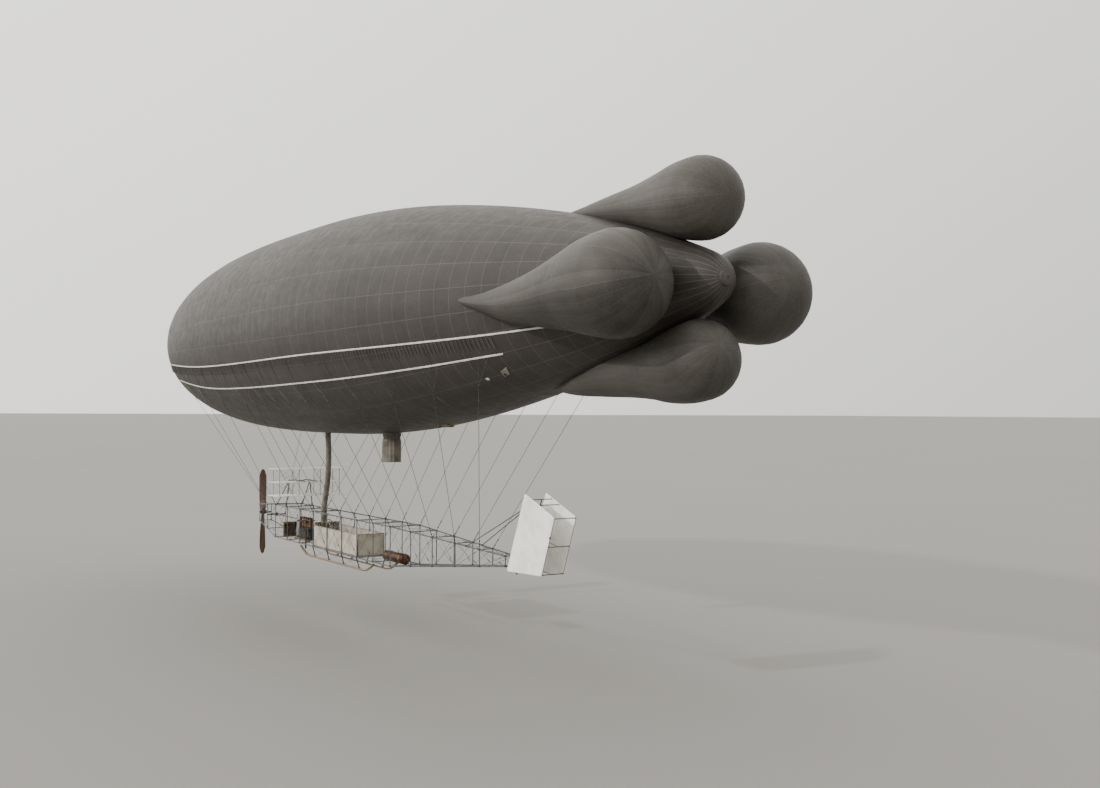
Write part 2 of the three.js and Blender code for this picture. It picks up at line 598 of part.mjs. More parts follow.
function drive() {
  const axis = (x) => vec(x, 0, SHAFT.z);
  const hubRear = PROPELLER.station - HUB.half;
  const hubFront = PROPELLER.station + HUB.half;
  const shaft = join([
    tube(axis(SHAFT.rear), axis(hubRear - GAP), SHAFT.radius, 12),
    tube(axis(hubRear - HUB.plate), axis(hubRear - GAP), HUB.radius, 16),
  ]);
  const hub = tube(axis(hubRear), axis(hubFront), HUB.radius, 16);
  const blades = join([blade(1), blade(-1)]).translate([PROPELLER.station, 0, SHAFT.z]);
  const beside = [hubRear - 0.3, hubFront].map(
    (x) => tube(axis(x), axis(x + 0.3), HUB.radius + 0.01, 16));
  const boss = join([
    tube(axis(hubFront + GAP), axis(hubFront + HUB.plate), HUB.radius, 16),
    tube(axis(hubFront + GAP), axis(hubFront + HUB.plate + HUB.nut), HUB.nutRadius, 6),
  ]);
  return [
    ['shaft_bearing_rear', shaftBearing(frameStation(14)), 'iron'],
    ['shaft_bearing_front', shaftBearing(frameStation(15)), 'iron'],
    ['propeller_shaft', shaft, 'steel'],
    ['propeller', join([blades.subtract(join(beside)), hub]), 'wood'],
    ['propeller_boss', boss, 'steel'],
  ];
}

// Elevator
function elevatorArm(y, front, rear) {
  const { hinge, z, plate: thick, armHalf, sleeve: outer, bore } = ELEVATOR;
  const ys = [y - armHalf, y + armHalf];
  const top = z + thick / 2 + 0.05;
  return join([
    sleeve(vec(hinge, y - 0.07, z), vec(hinge, y + 0.07, z), outer, bore),
    box([front + GAP, hinge - 0.05], ys, [z - armHalf, z + armHalf]),
    box([front + GAP, front + 0.06], ys, [z, top]),
    box([rear + 0.1, front + 0.05], ys, [z + thick / 2 + GAP, top]),
  ]);
}

function elevatorMasts() {
  const { hinge, z, mast, hingeTube, brace, braceRun } = ELEVATOR;
  const foot = CAR_TOP + LONGERON + FOOT_CLEAR;
  const tubes = [tube(vec(hinge, -mast, z), vec(hinge, mast, z), hingeTube, 12)];
  for (const side of [PORT, STARBOARD]) {
    const head = vec(hinge, side * mast, z);
    tubes.push(tube(vec(hinge, side * CAR_HALF, foot), head.clone().setZ(z + 0.05), hingeTube));
    tubes.push(tube(vec(hinge + braceRun, side * CAR_HALF, foot), head, brace));
  }
  return join(tubes);
}

function elevator() {
  const { hinge, z, gap, chord, halfSpan, plate: thick, lead, armY, bore } = ELEVATOR;
  const front = hinge - lead;
  const rear = front - chord;
  const planes = [-gap, 0, gap].map((rise) => box(
    [rear, front], [-halfSpan, halfSpan], [z + rise - thick / 2, z + rise + thick / 2]));
  const struts = [front - ELEVATOR.frontStrut, rear + ELEVATOR.rearStrut].flatMap(
    (x) => ELEVATOR.strutY.map((y) => tube(vec(x, y, z - gap), vec(x, y, z + gap), ELEVATOR.strut)));
  const tie = box([front + 0.03, front + 0.09], [-armY, armY], [z - 0.02, z + 0.02]);
  const hole = tube(vec(hinge, -1, z), vec(hinge, 1, z), bore, 12);
  const arms = join([elevatorArm(-armY, front, rear), elevatorArm(armY, front, rear), tie]);
  return [
    ['elevator_planes', join([...planes, ...struts]), 'canvas'],
    ['elevator_arms', arms.subtract(hole), 'steel'],
    ['elevator_masts', elevatorMasts(), 'steel'],
  ];
}

// Rudder: a point at a share of the height of its leading or trailing edge
function onEdge([lowX, lowZ], [topX, topZ], share) {
  return vec(THREE.MathUtils.lerp(lowX, topX, share), 0, THREE.MathUtils.lerp(lowZ, topZ, share));
}

function rudderPost(lead) {
  const { post, tube: thin, bracket, braceFoot } = RUDDER;
  const carEnd = CAR_REAR - FRAME_TUBE - GAP;
  const [, , carLow, carTop] = CAR_SHAPE[0];
  const braces = [PORT, STARBOARD].map((side) => tube(
    lead(1.06), carPoint(braceFoot, side, 3).add(vec(0, 0, LONGERON + FOOT_CLEAR)), thin));
  return join([
    tube(lead(-0.05), lead(1.09), post, 8),
    tube(lead(0.005).setZ(carLow), vec(carEnd, 0, carLow), bracket),
    tube(lead(0.22), vec(carEnd, 0, carTop), bracket),
    ...braces,
  ]);
}

function rudderFrame(lead, trail) {
  const { offset, plate: thick, post, postClearance, sleeve: outer, sleeveHalf, tube: thin } = RUDDER;
  const inner = offset - thick / 2 - GAP;
  const across = (point) => tube(point.clone().setY(-inner), point.clone().setY(inner), thin);
  const rise = lead(1).sub(lead(0)).normalize().multiplyScalar(sleeveHalf);
  const sparPoints = [];
  const members = RUDDER_LEVELS.flatMap(([low, high]) => {
    const start = lead(low);
    const end = trail(high).add(vec(0.03, 0, 0));
    const middle = start.clone().lerp(end, RUDDER.sparShare);
    sparPoints.push(middle);
    return [
      tube(start, end, thin), across(middle), across(end),
      tube(start.clone().sub(rise), start.clone().add(rise), outer, 8),
    ];
  });
  const bore = tube(lead(-0.2), lead(1.2), post + postClearance, 8);
  return join([...members, tube(sparPoints[0], sparPoints.at(-1), RUDDER.spar)]).subtract(bore);
}

function rudder() {
  const { topLead, topTrail, lowTrail, lowLead, offset, plate: thick } = RUDDER;
  const lead = (share) => onEdge(lowLead, topLead, share);
  const trail = (share) => onEdge(lowTrail, topTrail, share);
  const port = plate(
    [topLead, topTrail, lowTrail, lowLead], [offset - thick / 2, offset + thick / 2]);
  return [
    ['rudder_post', rudderPost(lead), 'steel'],
    ['rudder_frame', rudderFrame(lead, trail), 'steel'],
    ['rudder_plane_port', port, 'canvas'],
    ['rudder_plane_starboard', port.mirror([0, 1, 0]), 'canvas'],
  ];
}

const skid = landingSkid();
const pieces = [
  ...envelopePanels(),
  ...LOBES.map(lobe),
  ...envelopeFittings(),
  ...SUSPENSION.flatMap(suspension),
  ...GIRDERS.map(girder),
  ...pit(),
  ...HAND_WHEELS.map(handWheel),
  ...machinery(),
  ...airSupply(),
  ['landing_skid_port', skid, 'wood'],
  ['landing_skid_starboard', skid.mirror([0, 1, 0]), 'wood'],
  ...drive(),
  ...elevator(),
  ...rudder(),
];

const airship = new THREE.Group();
for (const [name, solid, finish] of pieces) {
  const [color, roughness, metalness] = FINISH[finish];
  const mesh = new THREE.Mesh(
    asGeometry(solid), new THREE.MeshStandardMaterial({ color, roughness, metalness }));
  mesh.name = name;
  mesh.position.x = -LIFT_STATION;
  airship.add(mesh);
}

const model = new THREE.Group();
airship.scale.setScalar(MODEL_MM);
model.add(airship);
export default model;
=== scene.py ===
import json
from bisect import bisect_left
from math import asin, atan, atan2, copysign, cos, exp, hypot, pi, radians, sin, sqrt

import bmesh
import bpy
from mathutils import Matrix, Quaternion, Vector

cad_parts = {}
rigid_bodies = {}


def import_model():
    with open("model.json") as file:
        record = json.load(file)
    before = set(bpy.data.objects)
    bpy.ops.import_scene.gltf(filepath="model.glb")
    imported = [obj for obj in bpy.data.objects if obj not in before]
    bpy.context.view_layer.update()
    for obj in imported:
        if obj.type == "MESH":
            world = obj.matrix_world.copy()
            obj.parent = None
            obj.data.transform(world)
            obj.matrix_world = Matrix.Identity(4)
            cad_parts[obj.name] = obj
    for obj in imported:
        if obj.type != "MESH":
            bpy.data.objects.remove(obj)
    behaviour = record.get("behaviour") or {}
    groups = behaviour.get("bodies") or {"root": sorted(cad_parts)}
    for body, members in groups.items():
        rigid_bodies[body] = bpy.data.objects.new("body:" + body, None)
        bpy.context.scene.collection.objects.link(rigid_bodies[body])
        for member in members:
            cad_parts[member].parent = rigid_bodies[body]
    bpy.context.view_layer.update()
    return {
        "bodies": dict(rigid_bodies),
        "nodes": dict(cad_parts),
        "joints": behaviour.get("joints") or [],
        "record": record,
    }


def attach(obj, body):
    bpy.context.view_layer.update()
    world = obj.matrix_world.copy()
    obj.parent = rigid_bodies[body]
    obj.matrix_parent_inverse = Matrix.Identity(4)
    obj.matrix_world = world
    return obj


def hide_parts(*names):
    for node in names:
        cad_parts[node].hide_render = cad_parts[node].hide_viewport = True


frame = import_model()

# Lengths are the real airship's in metres, as in the part's source, and TO_MODEL brings them to the
# 1:2 model. X runs forward, Y to port and Z up. A station is a distance forward of the tail's pole.
SCALE = 0.5
LIFT_STATION = 29.3
TO_MODEL = Matrix.Scale(SCALE, 4) @ Matrix.Translation((-LIFT_STATION, 0, 0))
PORT, STARBOARD = 1, -1
SIDES = (("port", PORT), ("starboard", STARBOARD))
TURN = 2 * pi
CURVE_STEPS = 24  # parts of a smooth curve between two of its rows
ORIGIN = Vector((0, 0, 0))
X, Y, Z = (Vector(row) for row in Matrix.Identity(3))

# Camera and floor, in model metres
CAMERA = {"place": (-29.0, 12.205, -2.055), "yaw": -32.18, "pitch": 0.8, "roll": 0.27}
PHOTO_WIDTH = 1100
LENS_PIXELS = 1227
SENSOR = 36
FLOOR_HEIGHT = -7.45
FLOOR_REACH = 1500
# The sky's level is a slope on how far a way points to "from", and it is never under the least.
LIGHT = {"from": (0.4, 0.4, 0.82), "level": 1.3, "slope": 1.35, "least": 0.18}
SUN = {"from": (0.0, 0.92, 0.39), "energy": 1.9, "spread": 2}

# Envelope: station, radius
HULL = [
    (0, 0), (0.12, 0.4), (0.45, 0.73), (1, 0.98), (2, 1.33), (3.5, 1.83), (6, 2.55),
    (9, 3.2), (12, 3.78), (16, 4.42), (20, 4.9), (25, 5.22), (30.5, 5.29), (36, 5.24),
    (41, 5), (45, 4.58), (48.5, 3.95), (51.2, 3.18), (53.4, 2.28), (55, 1.4),
    (55.9, 0.72), (56.2, 0.34), (56.25, 0),
]
HULL_GORES = 24
HULL_TURN = 0.6
HULL_SIDES = 144
HULL_STEP = 0.25
RING_END = (-13.2, -13.6)  # the ring seams stop here, in model metres
# share of the way from bulb to tip, share of the bulb's radius, drop under the straight line
PEAR = [Y, (0.1, 0.94, 0), (0.22, 0.78, 0), (0.4, 0.56, 0), (0.6, 0.39, 0), (0.8, 0.21, 0), X]
SLUNG = [Y, (0.1, 0.94, 0.02), (0.22, 0.79, 0.09), (0.4, 0.59, 0.23), (0.6, 0.4, 0.3),
         (0.8, 0.19, 0.22), X]
WAISTED = [Y, (0.07, 0.98, 0.05), (0.17, 0.885, 0.08), (0.27, 0.745, 0.07), (0.4, 0.64, 0.03),
           (0.6, 0.51, 0), (0.8, 0.34, 0), (0.92, 0.17, 0), X]
# name, form, bulb radius, bulb's centre and tip as station, y, z, how far the pole is lifted and
# turned to port in degrees, twist of the gores in degrees a metre, turn of the gores, and how far
# the gores' tones differ, how light the cloth is, set for each lobe to how it is lit (partly painted
# light), and how much lighter it is painted a metre up (painted light and shade)
LOBES = [
    ("lobe_top", PEAR, 1.33, (1.2, 0, 2.58), (9.06, 0, 3.05), (0, 0), 0, 0.5, 0.2, 0.15, -0.16),
    ("lobe_bottom", WAISTED, 1.29, (1.28, 0, -2.49), (9.95, 0, -3.26), (14, 9), 9, 0.15, 0.3, 0.07, 0.14),
    ("lobe_port", SLUNG, 1.685, (1.7, 2.86, -0.22), (11.4, 3.44, -0.02), (5, 0), 0, 0.6, 0.5, 0, 0.25),
    ("lobe_starboard", SLUNG, 1.685, (1.7, -2.86, -0.22), (11.4, -3.44, -0.02), (14, 0), 0, 0.4, 0.25,
     0.07, -0.08),
]
LOBE_GORES = 24
# each gore's tone, from 0 at its darkest to 1
GORE_TONES = [
    0.75, 0.35, 0.4, 0.6, 0.8, 0.45, 0.3, 0.55, 0.4, 0.7, 0.5, 0.35, 0.6, 0.4, 0.5, 0.75, 0.35, 0.45,
    0.6, 0.3, 0.5, 0.4, 0.35, 0.35,
]
LOBE_SIDES = 96
PANEL_ROW = 31.7  # what a row of panels adds to the number by which a panel's tone is drawn
# how far the gores stand out between their seams, as a share of the radius
PILLOW = {"hull": 0.0016, "lobe": 0.007}

# Belts: station, height
UPPER_BELT = [(6.6, -1.25), (9.7, -1.4), (14, -1.53), (22, -1.66), (38, -1.78), (50.4, -1.22)]
LOWER_BELT = [(9.25, -2.07), (14.3, -2.45), (22, -2.82), (38, -2.95), (46.8, -2.32)]
BELT = {"half": 0.036, "thick": 0.032, "pocket": 0.6}
# dark tabs under the upper belt: partly hanging cords and partly their painted shadows
TABS_AND_PAINTED_SHADOWS = {"first": 9.4, "pitch": 0.24, "count": 165, "drop": 0.5}
STRAPS = {"first": 0.3, "pitch": 1.93, "count": 20}  # first is from the lower belt's end

# station at the car, station at the belt
STAYS = [
    (14.9, 10.6), (16.8, 13.6), (18.7, 16.7), (20.6, 19.7), (22.5, 22.6), (24.4, 25), (26.3, 27.1),
    (28.2, 28.8), (30.1, 30.4), (32, 31.9), (33.9, 33.3), (37.7, 37.3), (39.6, 41.2), (39.6, 44.5),
]
LEG = 0.55  # along the belt from a stay's middle leg to the others
# Spread is its cloth's length over its reach, and round is its cloth's width, with the folds laid flat.
NECK = {"station": 24, "radius": 0.45, "reach": 1.35, "spread": 1.087, "round": 2.85}
# name, station, height
VALVES = [("gas_valve_aft", 18.5, -1), ("gas_valve_fore", 42, -1), ("gas_valve_top", 33, 1)]
# station, angle
SIDE_VALVE = (9.91, radians(-53.2))
# its middle and the corners of its patch: ahead, above, in metres along the skin
VALVE_EYE = (0.09, -0.08)
PATCH = [(0.246, -0.2), (0.17, 0.113), (-0.305, 0.231), (-0.104, -0.134)]
# station, angle
BELLY_RING = (11.05, radians(-54.3))
BELLY_LINE = {"station": 14.85, "start": -57, "turn": -31}  # in degrees

# Car: station, half width, bottom, top
CAR_SHAPE = [
    (13, 0.2, -10.2, -9.8), (22.5, 0.75, -11.2, -9.4), (37.7, 0.75, -11.2, -9.4),
    (41.5, 0.35, -10.6, -9.65),
]
CAR_REAR = 13
BAY = 1.9
LONGERON = 0.03
FRAME_TUBE = 0.022
CAR_HALF, CAR_LOW = CAR_SHAPE[1][1:3]
DECK = CAR_LOW + FRAME_TUBE  # top of the low cross tubes
# name, first bay, last bay
GIRDERS = [("girder_aft", 0, 6), ("girder_mid", 6, 11), ("girder_fore", 11, 15)]
PIT = {"rear": 26.3, "front": 32, "wallTop": -10.1}
PIT_FLOOR = DECK + 0.03  # top of its planks
# place across, height over the walls' top, radius
DIALS = [(-0.42, 0.0, 0.1), (-0.18, 0.02, 0.08), (0.42, 0.0, 0.1), (0.2, 0.03, 0.06)]
# station, height over its underside
SKID_LINE = [
    (24.62, 0.44), (25, 0.25), (25.5, 0.07), (25.9, 0.045), (32.8, 0.045), (33.2, 0.07), (33.7, 0.25),
    (34.08, 0.44),
]
SKID = {"y": 0.62, "drop": 0.6, "half": 0.058, "legs": (26.3, 28.2, 30.1, 32)}
ENGINE_REAR = CAR_REAR + 11 * BAY
ENGINE_FLOOR = Vector((ENGINE_REAR, 0, DECK + 0.1))
CYLINDERS = [0.35, 0.68, 1.01, 1.34]  # forward of the engine's rear
RADIATOR = {"rear": 37, "fins": 40, "tubes": 18}
TANK = {"rear": 22.4, "length": 2.1}
BLOWER = Vector((32.95, -0.3, DECK + 0.42))
# name, centre, way that the column points, radius
HAND_WHEELS = [("rudder", (31.6, 0.1, -10.15), -X, 0.34), ("elevator", (30.9, 0.35, -10.2), -Y, 0.3)]
SHAFT = {"z": -10.12, "rear": 36.1, "collar": 38.4}
PROPELLER = {"station": 42.02, "diameter": 5, "chord": 0.42, "thickness": 0.09, "pitch": 3.6}
HUB = {"half": 0.1, "plate": 0.035}
HUB_PLACE = (PROPELLER["station"], 0, SHAFT["z"])
# Front is the planes' leading edge, measured from the hinge, and half is half of a plane's thickness.
ELEVATOR = {
    "hinge": Vector((36, 0, -8)), "front": -0.45, "chord": 1.35, "gap": 0.72, "halfSpan": 1.95,
    "half": 0.025, "mast": 0.6,
}
# Rudder's outline from the side: station, height. Post is where it ends, as shares of the leading edge.
RUDDER = {
    "topLead": (11.1, -7.22), "topTrail": (8.99, -8), "lowTrail": (9.87, -10.22), "lowLead": (12.42, -10.31),
    "offset": 0.47, "plate": 0.03, "braceFoot": 15.9, "post": (-0.05, 0.9),
}


# Finishes
def tone(code):
    """A colour from its hexadecimal code, as linear light."""
    parts = [int(code[i:i + 2], 16) / 255 for i in (0, 2, 4)]
    return [p / 12.92 if p <= 0.04045 else ((p + 0.055) / 1.055) ** 2.4 for p in parts] + [1]


def new_node(tree, kind, inputs=(), output=0, **settings):
    """Adds a shader node, with its inputs as values or as other nodes' outputs."""
    made = tree.nodes.new("ShaderNode" + kind)
    for key, value in settings.items():
        setattr(made, key, value)
    for socket, value in dict(inputs).items():
        if isinstance(value, bpy.types.NodeSocket):
            tree.links.new(value, made.inputs[socket])
        else:
            made.inputs[socket].default_value = value
    return made.outputs[output]


class Finish:
    """A material whose colour, roughness and bump come from nodes."""

    def __init__(self, name, **sockets):
        self.material = bpy.data.materials.new(name)
        self.material.use_nodes = True
        self.tree = self.material.node_tree
        self.shader = self.tree.nodes["Principled BSDF"]
        for socket, value in sockets.items():
            self.shader.inputs[socket.replace("_", " ")].default_value = value
        self.at = self.node("TexCoord", output="Object")

    def node(self, *parts, **settings):
        return new_node(self.tree, *parts, **settings)

    def math(self, operation, *values):
        return self.node("Math", dict(enumerate(values)), operation=operation)

    def total(self, *terms):
        """Sum of value times weight, for pairs of the two."""
        whole = 0.0
        for value, weight in terms:
            whole = self.math("MULTIPLY_ADD", value, weight, whole)
        return whole

    def axes(self, place=None):
        made = self.tree.nodes.new("ShaderNodeSeparateXYZ")
        self.tree.links.new(place or self.at, made.inputs[0])
        return list(made.outputs)

    def noise(self, scale, detail=4, stretch=(1, 1, 1), roughness=0.55):
        vector = self.at
        if stretch != (1, 1, 1):
            vector = self.node("VectorMath", {0: self.at, 1: stretch}, operation="MULTIPLY")
        return self.node("TexNoise", {
            "Vector": vector, "Scale": scale, "Detail": detail, "Roughness": roughness})

    def between(self, value, low, high, smooth=True):
        """0 at low and 1 at high."""
        kind = "SMOOTHSTEP" if smooth else "LINEAR"
        return self.node("MapRange", {0: value, 1: low, 2: high}, interpolation_type=kind)

    def steps(self, value, levels):
        """Even steps of grey from 0 to 1."""
        made = self.tree.nodes.new("ShaderNodeValToRGB")
        self.tree.links.new(value, made.inputs[0])
        ramp = made.color_ramp
        ramp.interpolation = "CONSTANT"
        for _ in levels[2:]:
            ramp.elements.new(1)
        for i, (element, level) in enumerate(zip(ramp.elements, levels)):
            element.position = i / len(levels)
        for element, level in zip(ramp.elements, levels):
            element.color = (level, level, level, 1)
        return made.outputs[0]

    def blend(self, share, first, second):
        return self.node("Mix", {0: share, 6: first, 7: second}, output=2, data_type="RGBA")

    def worn(self, value, low, high, light, dark):
        """From dark to light as a value goes from low to high."""
        return self.blend(self.between(value, low, high), tone(dark), tone(light))

    def set(self, colour=None, roughness=None, height=None, strength=1.0):
        """Height is in metres."""
        if colour is not None:
            self.tree.links.new(colour, self.shader.inputs["Base Color"])
        if roughness is not None:
            self.tree.links.new(roughness, self.shader.inputs["Roughness"])
        if height is not None:
            bump = self.node("Bump", {"Strength": strength, "Distance": 1.0, "Height": height})
            self.tree.links.new(bump, self.shader.inputs["Normal"])
        return self.material


def seamed_fabric(name, gores, pitch, turn, contrast, line, cloth, tones=(), light=0.0, painted_light_slope=0.0):
    """Rubbered cotton in gores round its pattern's X axis, with taped seams. Pitch is the distance
    between ring seams on the model, or 0 for none. Contrast is how far the panels' tones differ. Tones
    are each gore's own, and without them the panels get theirs by chance. Light makes the whole cloth
    lighter, partly as painted light, and the last argument paints light and shade by height: the
    cloth is made lighter or darker a metre up its pattern."""
    finish = Finish(name, Specular_IOR_Level=0.25)
    x, y, z = finish.axes(finish.node("Attribute", output=1, attribute_name="laid"))
    radius = finish.math("SQRT", finish.total((y, y), (z, z)))
    gore = finish.math("MULTIPLY_ADD", finish.math("ARCTAN2", z, y), gores / TURN, turn)
    width = finish.math("MULTIPLY", radius, TURN / gores)
    seam = finish.math("MULTIPLY", finish.math("PINGPONG", gore, 0.5), width)
    cell = finish.math("FLOOR", gore)
    if pitch:
        ring = finish.math("DIVIDE", x, pitch)
        ring_seam = finish.math("MULTIPLY", finish.math("PINGPONG", ring, 0.5), pitch)
        ring_seam = finish.math("ADD", ring_seam, finish.between(x, *RING_END))
        seam = finish.math("MINIMUM", seam, ring_seam)
        cell = finish.math("MULTIPLY_ADD", finish.math("FLOOR", ring), PANEL_ROW, cell)
    tape = finish.between(seam, 0.01, 0.004)
    if tones:
        panel = finish.steps(finish.math("FRACT", finish.math("DIVIDE", gore, gores)), tones)
    else:
        panel = finish.node("TexWhiteNoise", {"W": cell}, noise_dimensions="1D")
    cloud = finish.noise(0.9, 5)
    mottle = finish.noise(5, 6, roughness=0.65)
    grain = finish.noise(60, 3)
    streak = finish.noise(3.5, 4, stretch=(0.12, 1, 1))
    weights = [(panel, contrast), (cloud, 0.45), (mottle, 0.45), (grain, 0.9), (streak, 0.4)]
    # Painted light: the light value lifts this cloth's tone, and the z term makes it lighter or darker with
    # height (painted light and shade).
    level = 0.5 + light - sum(weight for _, weight in weights) / 2
    share = finish.total(*weights, (z, painted_light_slope), (1.0, level))
    plain = finish.blend(share, *(tone(code) for code in cloth))
    colour = finish.blend(finish.math("MULTIPLY", tape, line), plain, tone("b5ada2"))
    height = finish.total((tape, 0.0009), (mottle, 0.004), (grain, 0.0008), (cloud, 0.02))
    roughness = finish.between(mottle, -0.6, 1.5, smooth=False)
    return finish.set(colour, roughness, height)


def webbing(name, light, dark):
    finish = Finish(name, Roughness=0.8)
    weave = finish.noise(160, 2, stretch=(1, 1, 3))
    dirt = finish.noise(2.2, 5)
    colour = finish.worn(finish.total((weave, 0.4), (dirt, 0.6)), 0.36, 0.72, light, dark)
    return finish.set(colour, height=finish.total((weave, 0.001)))


def canvas(name, light, dark):
    """Doped cotton with a fine weave, slack ripples and grey wear."""
    finish = Finish(name, Sheen_Weight=0.1, Specular_IOR_Level=0.3)
    x, y, z = finish.axes()
    threads = [finish.math("SINE", finish.math("MULTIPLY", axis, 900)) for axis in (x, y, z)]
    weave = finish.math("MULTIPLY", finish.math("ADD", threads[0], threads[1]), threads[2])
    ripple = finish.noise(3, 2)
    dirt = finish.noise(2.4, 7, roughness=0.7)
    colour = finish.worn(dirt, 0.34, 0.62, light, dark)
    height = finish.total((weave, 0.0002), (ripple, 0.006), (dirt, 0.001))
    return finish.set(colour, finish.between(dirt, -0.9, 0.95, smooth=False), height, 0.5)


def metal(name, light, dark, roughness, metallic, scale=9):
    """Worn metal or paint: light where it is rubbed, dark in its patches."""
    finish = Finish(name, Metallic=metallic)
    wear = finish.noise(scale, 6, roughness=0.65)
    fine = finish.noise(120, 3)
    colour = finish.worn(finish.total((wear, 0.8), (fine, 0.2)), 0.36, 0.66, light, dark)
    rough = finish.node("MapRange", {0: wear, 1: 0.2, 2: 0.8, 3: roughness + 0.15, 4: roughness - 0.1})
    return finish.set(colour, rough, finish.total((wear, 0.0012), (fine, 0.0003)))


def timber(name, light, dark, along, pitch=0.0):
    """Varnished wood with its grain along one axis, and glue lines where a pitch is given."""
    finish = Finish(name, Coat_Weight=0.25, Coat_Roughness=0.25)
    stretch = [14.0, 14.0, 14.0]
    stretch[along] = 0.9
    rings = finish.noise(2.5, 5, stretch=tuple(stretch))
    pores = finish.noise(9, 3, stretch=tuple(s * 2 for s in stretch))
    colour = finish.worn(finish.total((rings, 0.8), (pores, 0.2)), 0.38, 0.64, light, dark)
    height = finish.total((rings, 0.0008), (pores, 0.0005))
    if pitch:
        layer = finish.math("DIVIDE", finish.axes()[0], pitch)
        glue = finish.between(finish.math("PINGPONG", layer, 0.5), 0.0, 0.08)
        tint = finish.node("TexWhiteNoise", {"W": finish.math("FLOOR", layer)}, noise_dimensions="1D")
        colour = finish.blend(finish.math("MULTIPLY", tint, 0.35), colour, tone(dark))
        colour = finish.blend(glue, tone("2c1a10"), colour)
    return finish.set(colour, finish.between(rings, -0.3, 1.9, smooth=False), height)


HULL_CLOTH = seamed_fabric("hull_cloth", HULL_GORES, 0.45, HULL_TURN, 0.08, 0.085, ("1e1b19", "4a4641"))
LOBE_CLOTH = ("22201d", "55524c")
WEBBING = webbing("belt_webbing_white", "e6e3dc", "cac5ba")
ROPE = webbing("hemp_rope", "8b8371", "4d473c")
# Dark webbing for the straps, the tabs and the tail patch's ring. It is also the colour of the painted shadow
# band under each belt.
DARK_WEBBING_AND_PAINTED_SHADOW = webbing("dark_webbing_and_painted_shadow", "4c4640", "2a2622")
WHITE_CANVAS = canvas("white_canvas", "fbfaf6", "e6e3dc")
CAR_CANVAS = canvas("car_canvas", "b2ac9f", "948e80")
STEEL = metal("painted_steel", "6f7274", "4c4f51", 0.42, 0.6)
CABLE = metal("steel_cable", "7b7a76", "3b3a38", 0.5, 0.7, scale=30)
IRON = metal("cast_iron", "4c4b49", "262524", 0.6, 0.6, scale=18)
BRASS = metal("brass_fitting", "9a8861", "5c4f35", 0.42, 1.0, scale=12)
COPPER = metal("copper_sheet", "7b5a48", "453228", 0.42, 1.0, scale=6)
ALUMINIUM = metal("aluminium_sheet", "b3b5b6", "77797b", 0.4, 1.0, scale=8)
PLANK = timber("pine_plank", "866e4f", "574430", 0)
BLADE_WOOD = timber("laminated_walnut", "6d4d36", "3e2b1c", 2, pitch=0.011)
RIM_WOOD = timber("ash_rim", "866d4c", "5b432a", 1)
DIAL_WHITE = metal("enamel_dial", "ece9df", "c9c4b6", 0.3, 0.0)
NECK_CLOTH = canvas("neck_cloth", "7a746a", "4b463e")
PATCH_CLOTH = canvas("patch_cloth", "8f8b82", "6b675e")
RUSTED = metal("heated_iron", "5c4636", "2b2422", 0.75, 0.3, scale=14)
DARK_RUBBER = metal("dark_rubber", "2a2826", "151413", 0.7, 0.0)


# Shapes
class Form:
    """Faces of one piece in the real airship's metres, each with the number of its finish. What is
    added to it is placed from its origin."""

    def __init__(self, origin=ORIGIN):
        self.origin = Vector(origin)
        self.points, self.faces, self.marks = [], [], []

    def add(self, points, faces, mark=0):
        start = len(self.points)
        self.points += [self.origin + Vector(point) for point in points]
        self.faces += [[start + i for i in face] for face in faces]
        self.marks += [mark] * len(faces)

    def loft(self, rings, mark=0, looped=False):
        """Rings of equally many points, joined in turn and closed at both ends. A looped loft joins its
        last ring to its first."""
        size, count = len(rings[0]), len(rings)
        faces = []
        for i in range(count if looped else count - 1):
            row, up = i * size, (i + 1) % count * size
            for j in range(size):
                after = (j + 1) % size
                faces.append([row + j, row + after, up + after, up + j])
        if not looped:
            faces += [list(range(size))[::-1], [(count - 1) * size + j for j in range(size)]]
        self.add([point for ring in rings for point in ring], faces, mark)

    def turned(self, profile, start, axis, sides=24, mark=0, looped=False):
        """A profile of distance and radius round an axis. Where it is looped, it is a closed section."""
        turn = X.rotation_difference(Vector(axis))
        rings = [
            [Vector(start) + turn @ Vector((x, r * cos(a), r * sin(a))) for a in angles(sides)]
            for x, r in profile]
        self.loft(rings, mark, looped=looped)

    def rod(self, start, end, radius, sides=8, mark=0):
        way = Vector(end) - Vector(start)
        self.turned([(0, radius), (way.length, radius)], start, way, sides, mark)

    def sweep(self, path, radius, sides=8, mark=0, looped=False):
        """A round section along a path, with one radius or one for each point."""
        path = [Vector(point) for point in path]
        count = len(path)
        radii = radius if hasattr(radius, "__len__") else [radius] * count
        ways = []
        for i in range(count):
            ahead = path[(i + 1) % count] if looped or i + 1 < count else path[i]
            behind = path[i - 1] if looped or i else path[i]
            ways.append((ahead - behind).normalized())
        side = ways[0].orthogonal().normalized()
        rings = []
        for i, way in enumerate(ways):
            side = (side - way * side.dot(way)).normalized()
            up = way.cross(side)
            rings.append([path[i] + (side * cos(a) + up * sin(a)) * radii[i] for a in angles(sides)])
        self.loft(rings, mark, looped=looped)

    def box(self, xs, ys, zs, mark=0):
        ring = lambda x: [(x, ys[0], zs[0]), (x, ys[1], zs[0]), (x, ys[1], zs[1]), (x, ys[0], zs[1])]
        self.loft([ring(xs[0]), ring(xs[1])], mark)

    def on(self, side):
        """This port form, or its mirror image to starboard."""
        if side == PORT:
            return self
        other = Form()
        other.add([(p.x, -p.y, p.z) for p in self.points], [face[::-1] for face in self.faces])
        other.marks = self.marks
        return other


def angles(count):
    return [TURN * i / count for i in range(count)]


def about(middle, half):
    return middle - half, middle + half


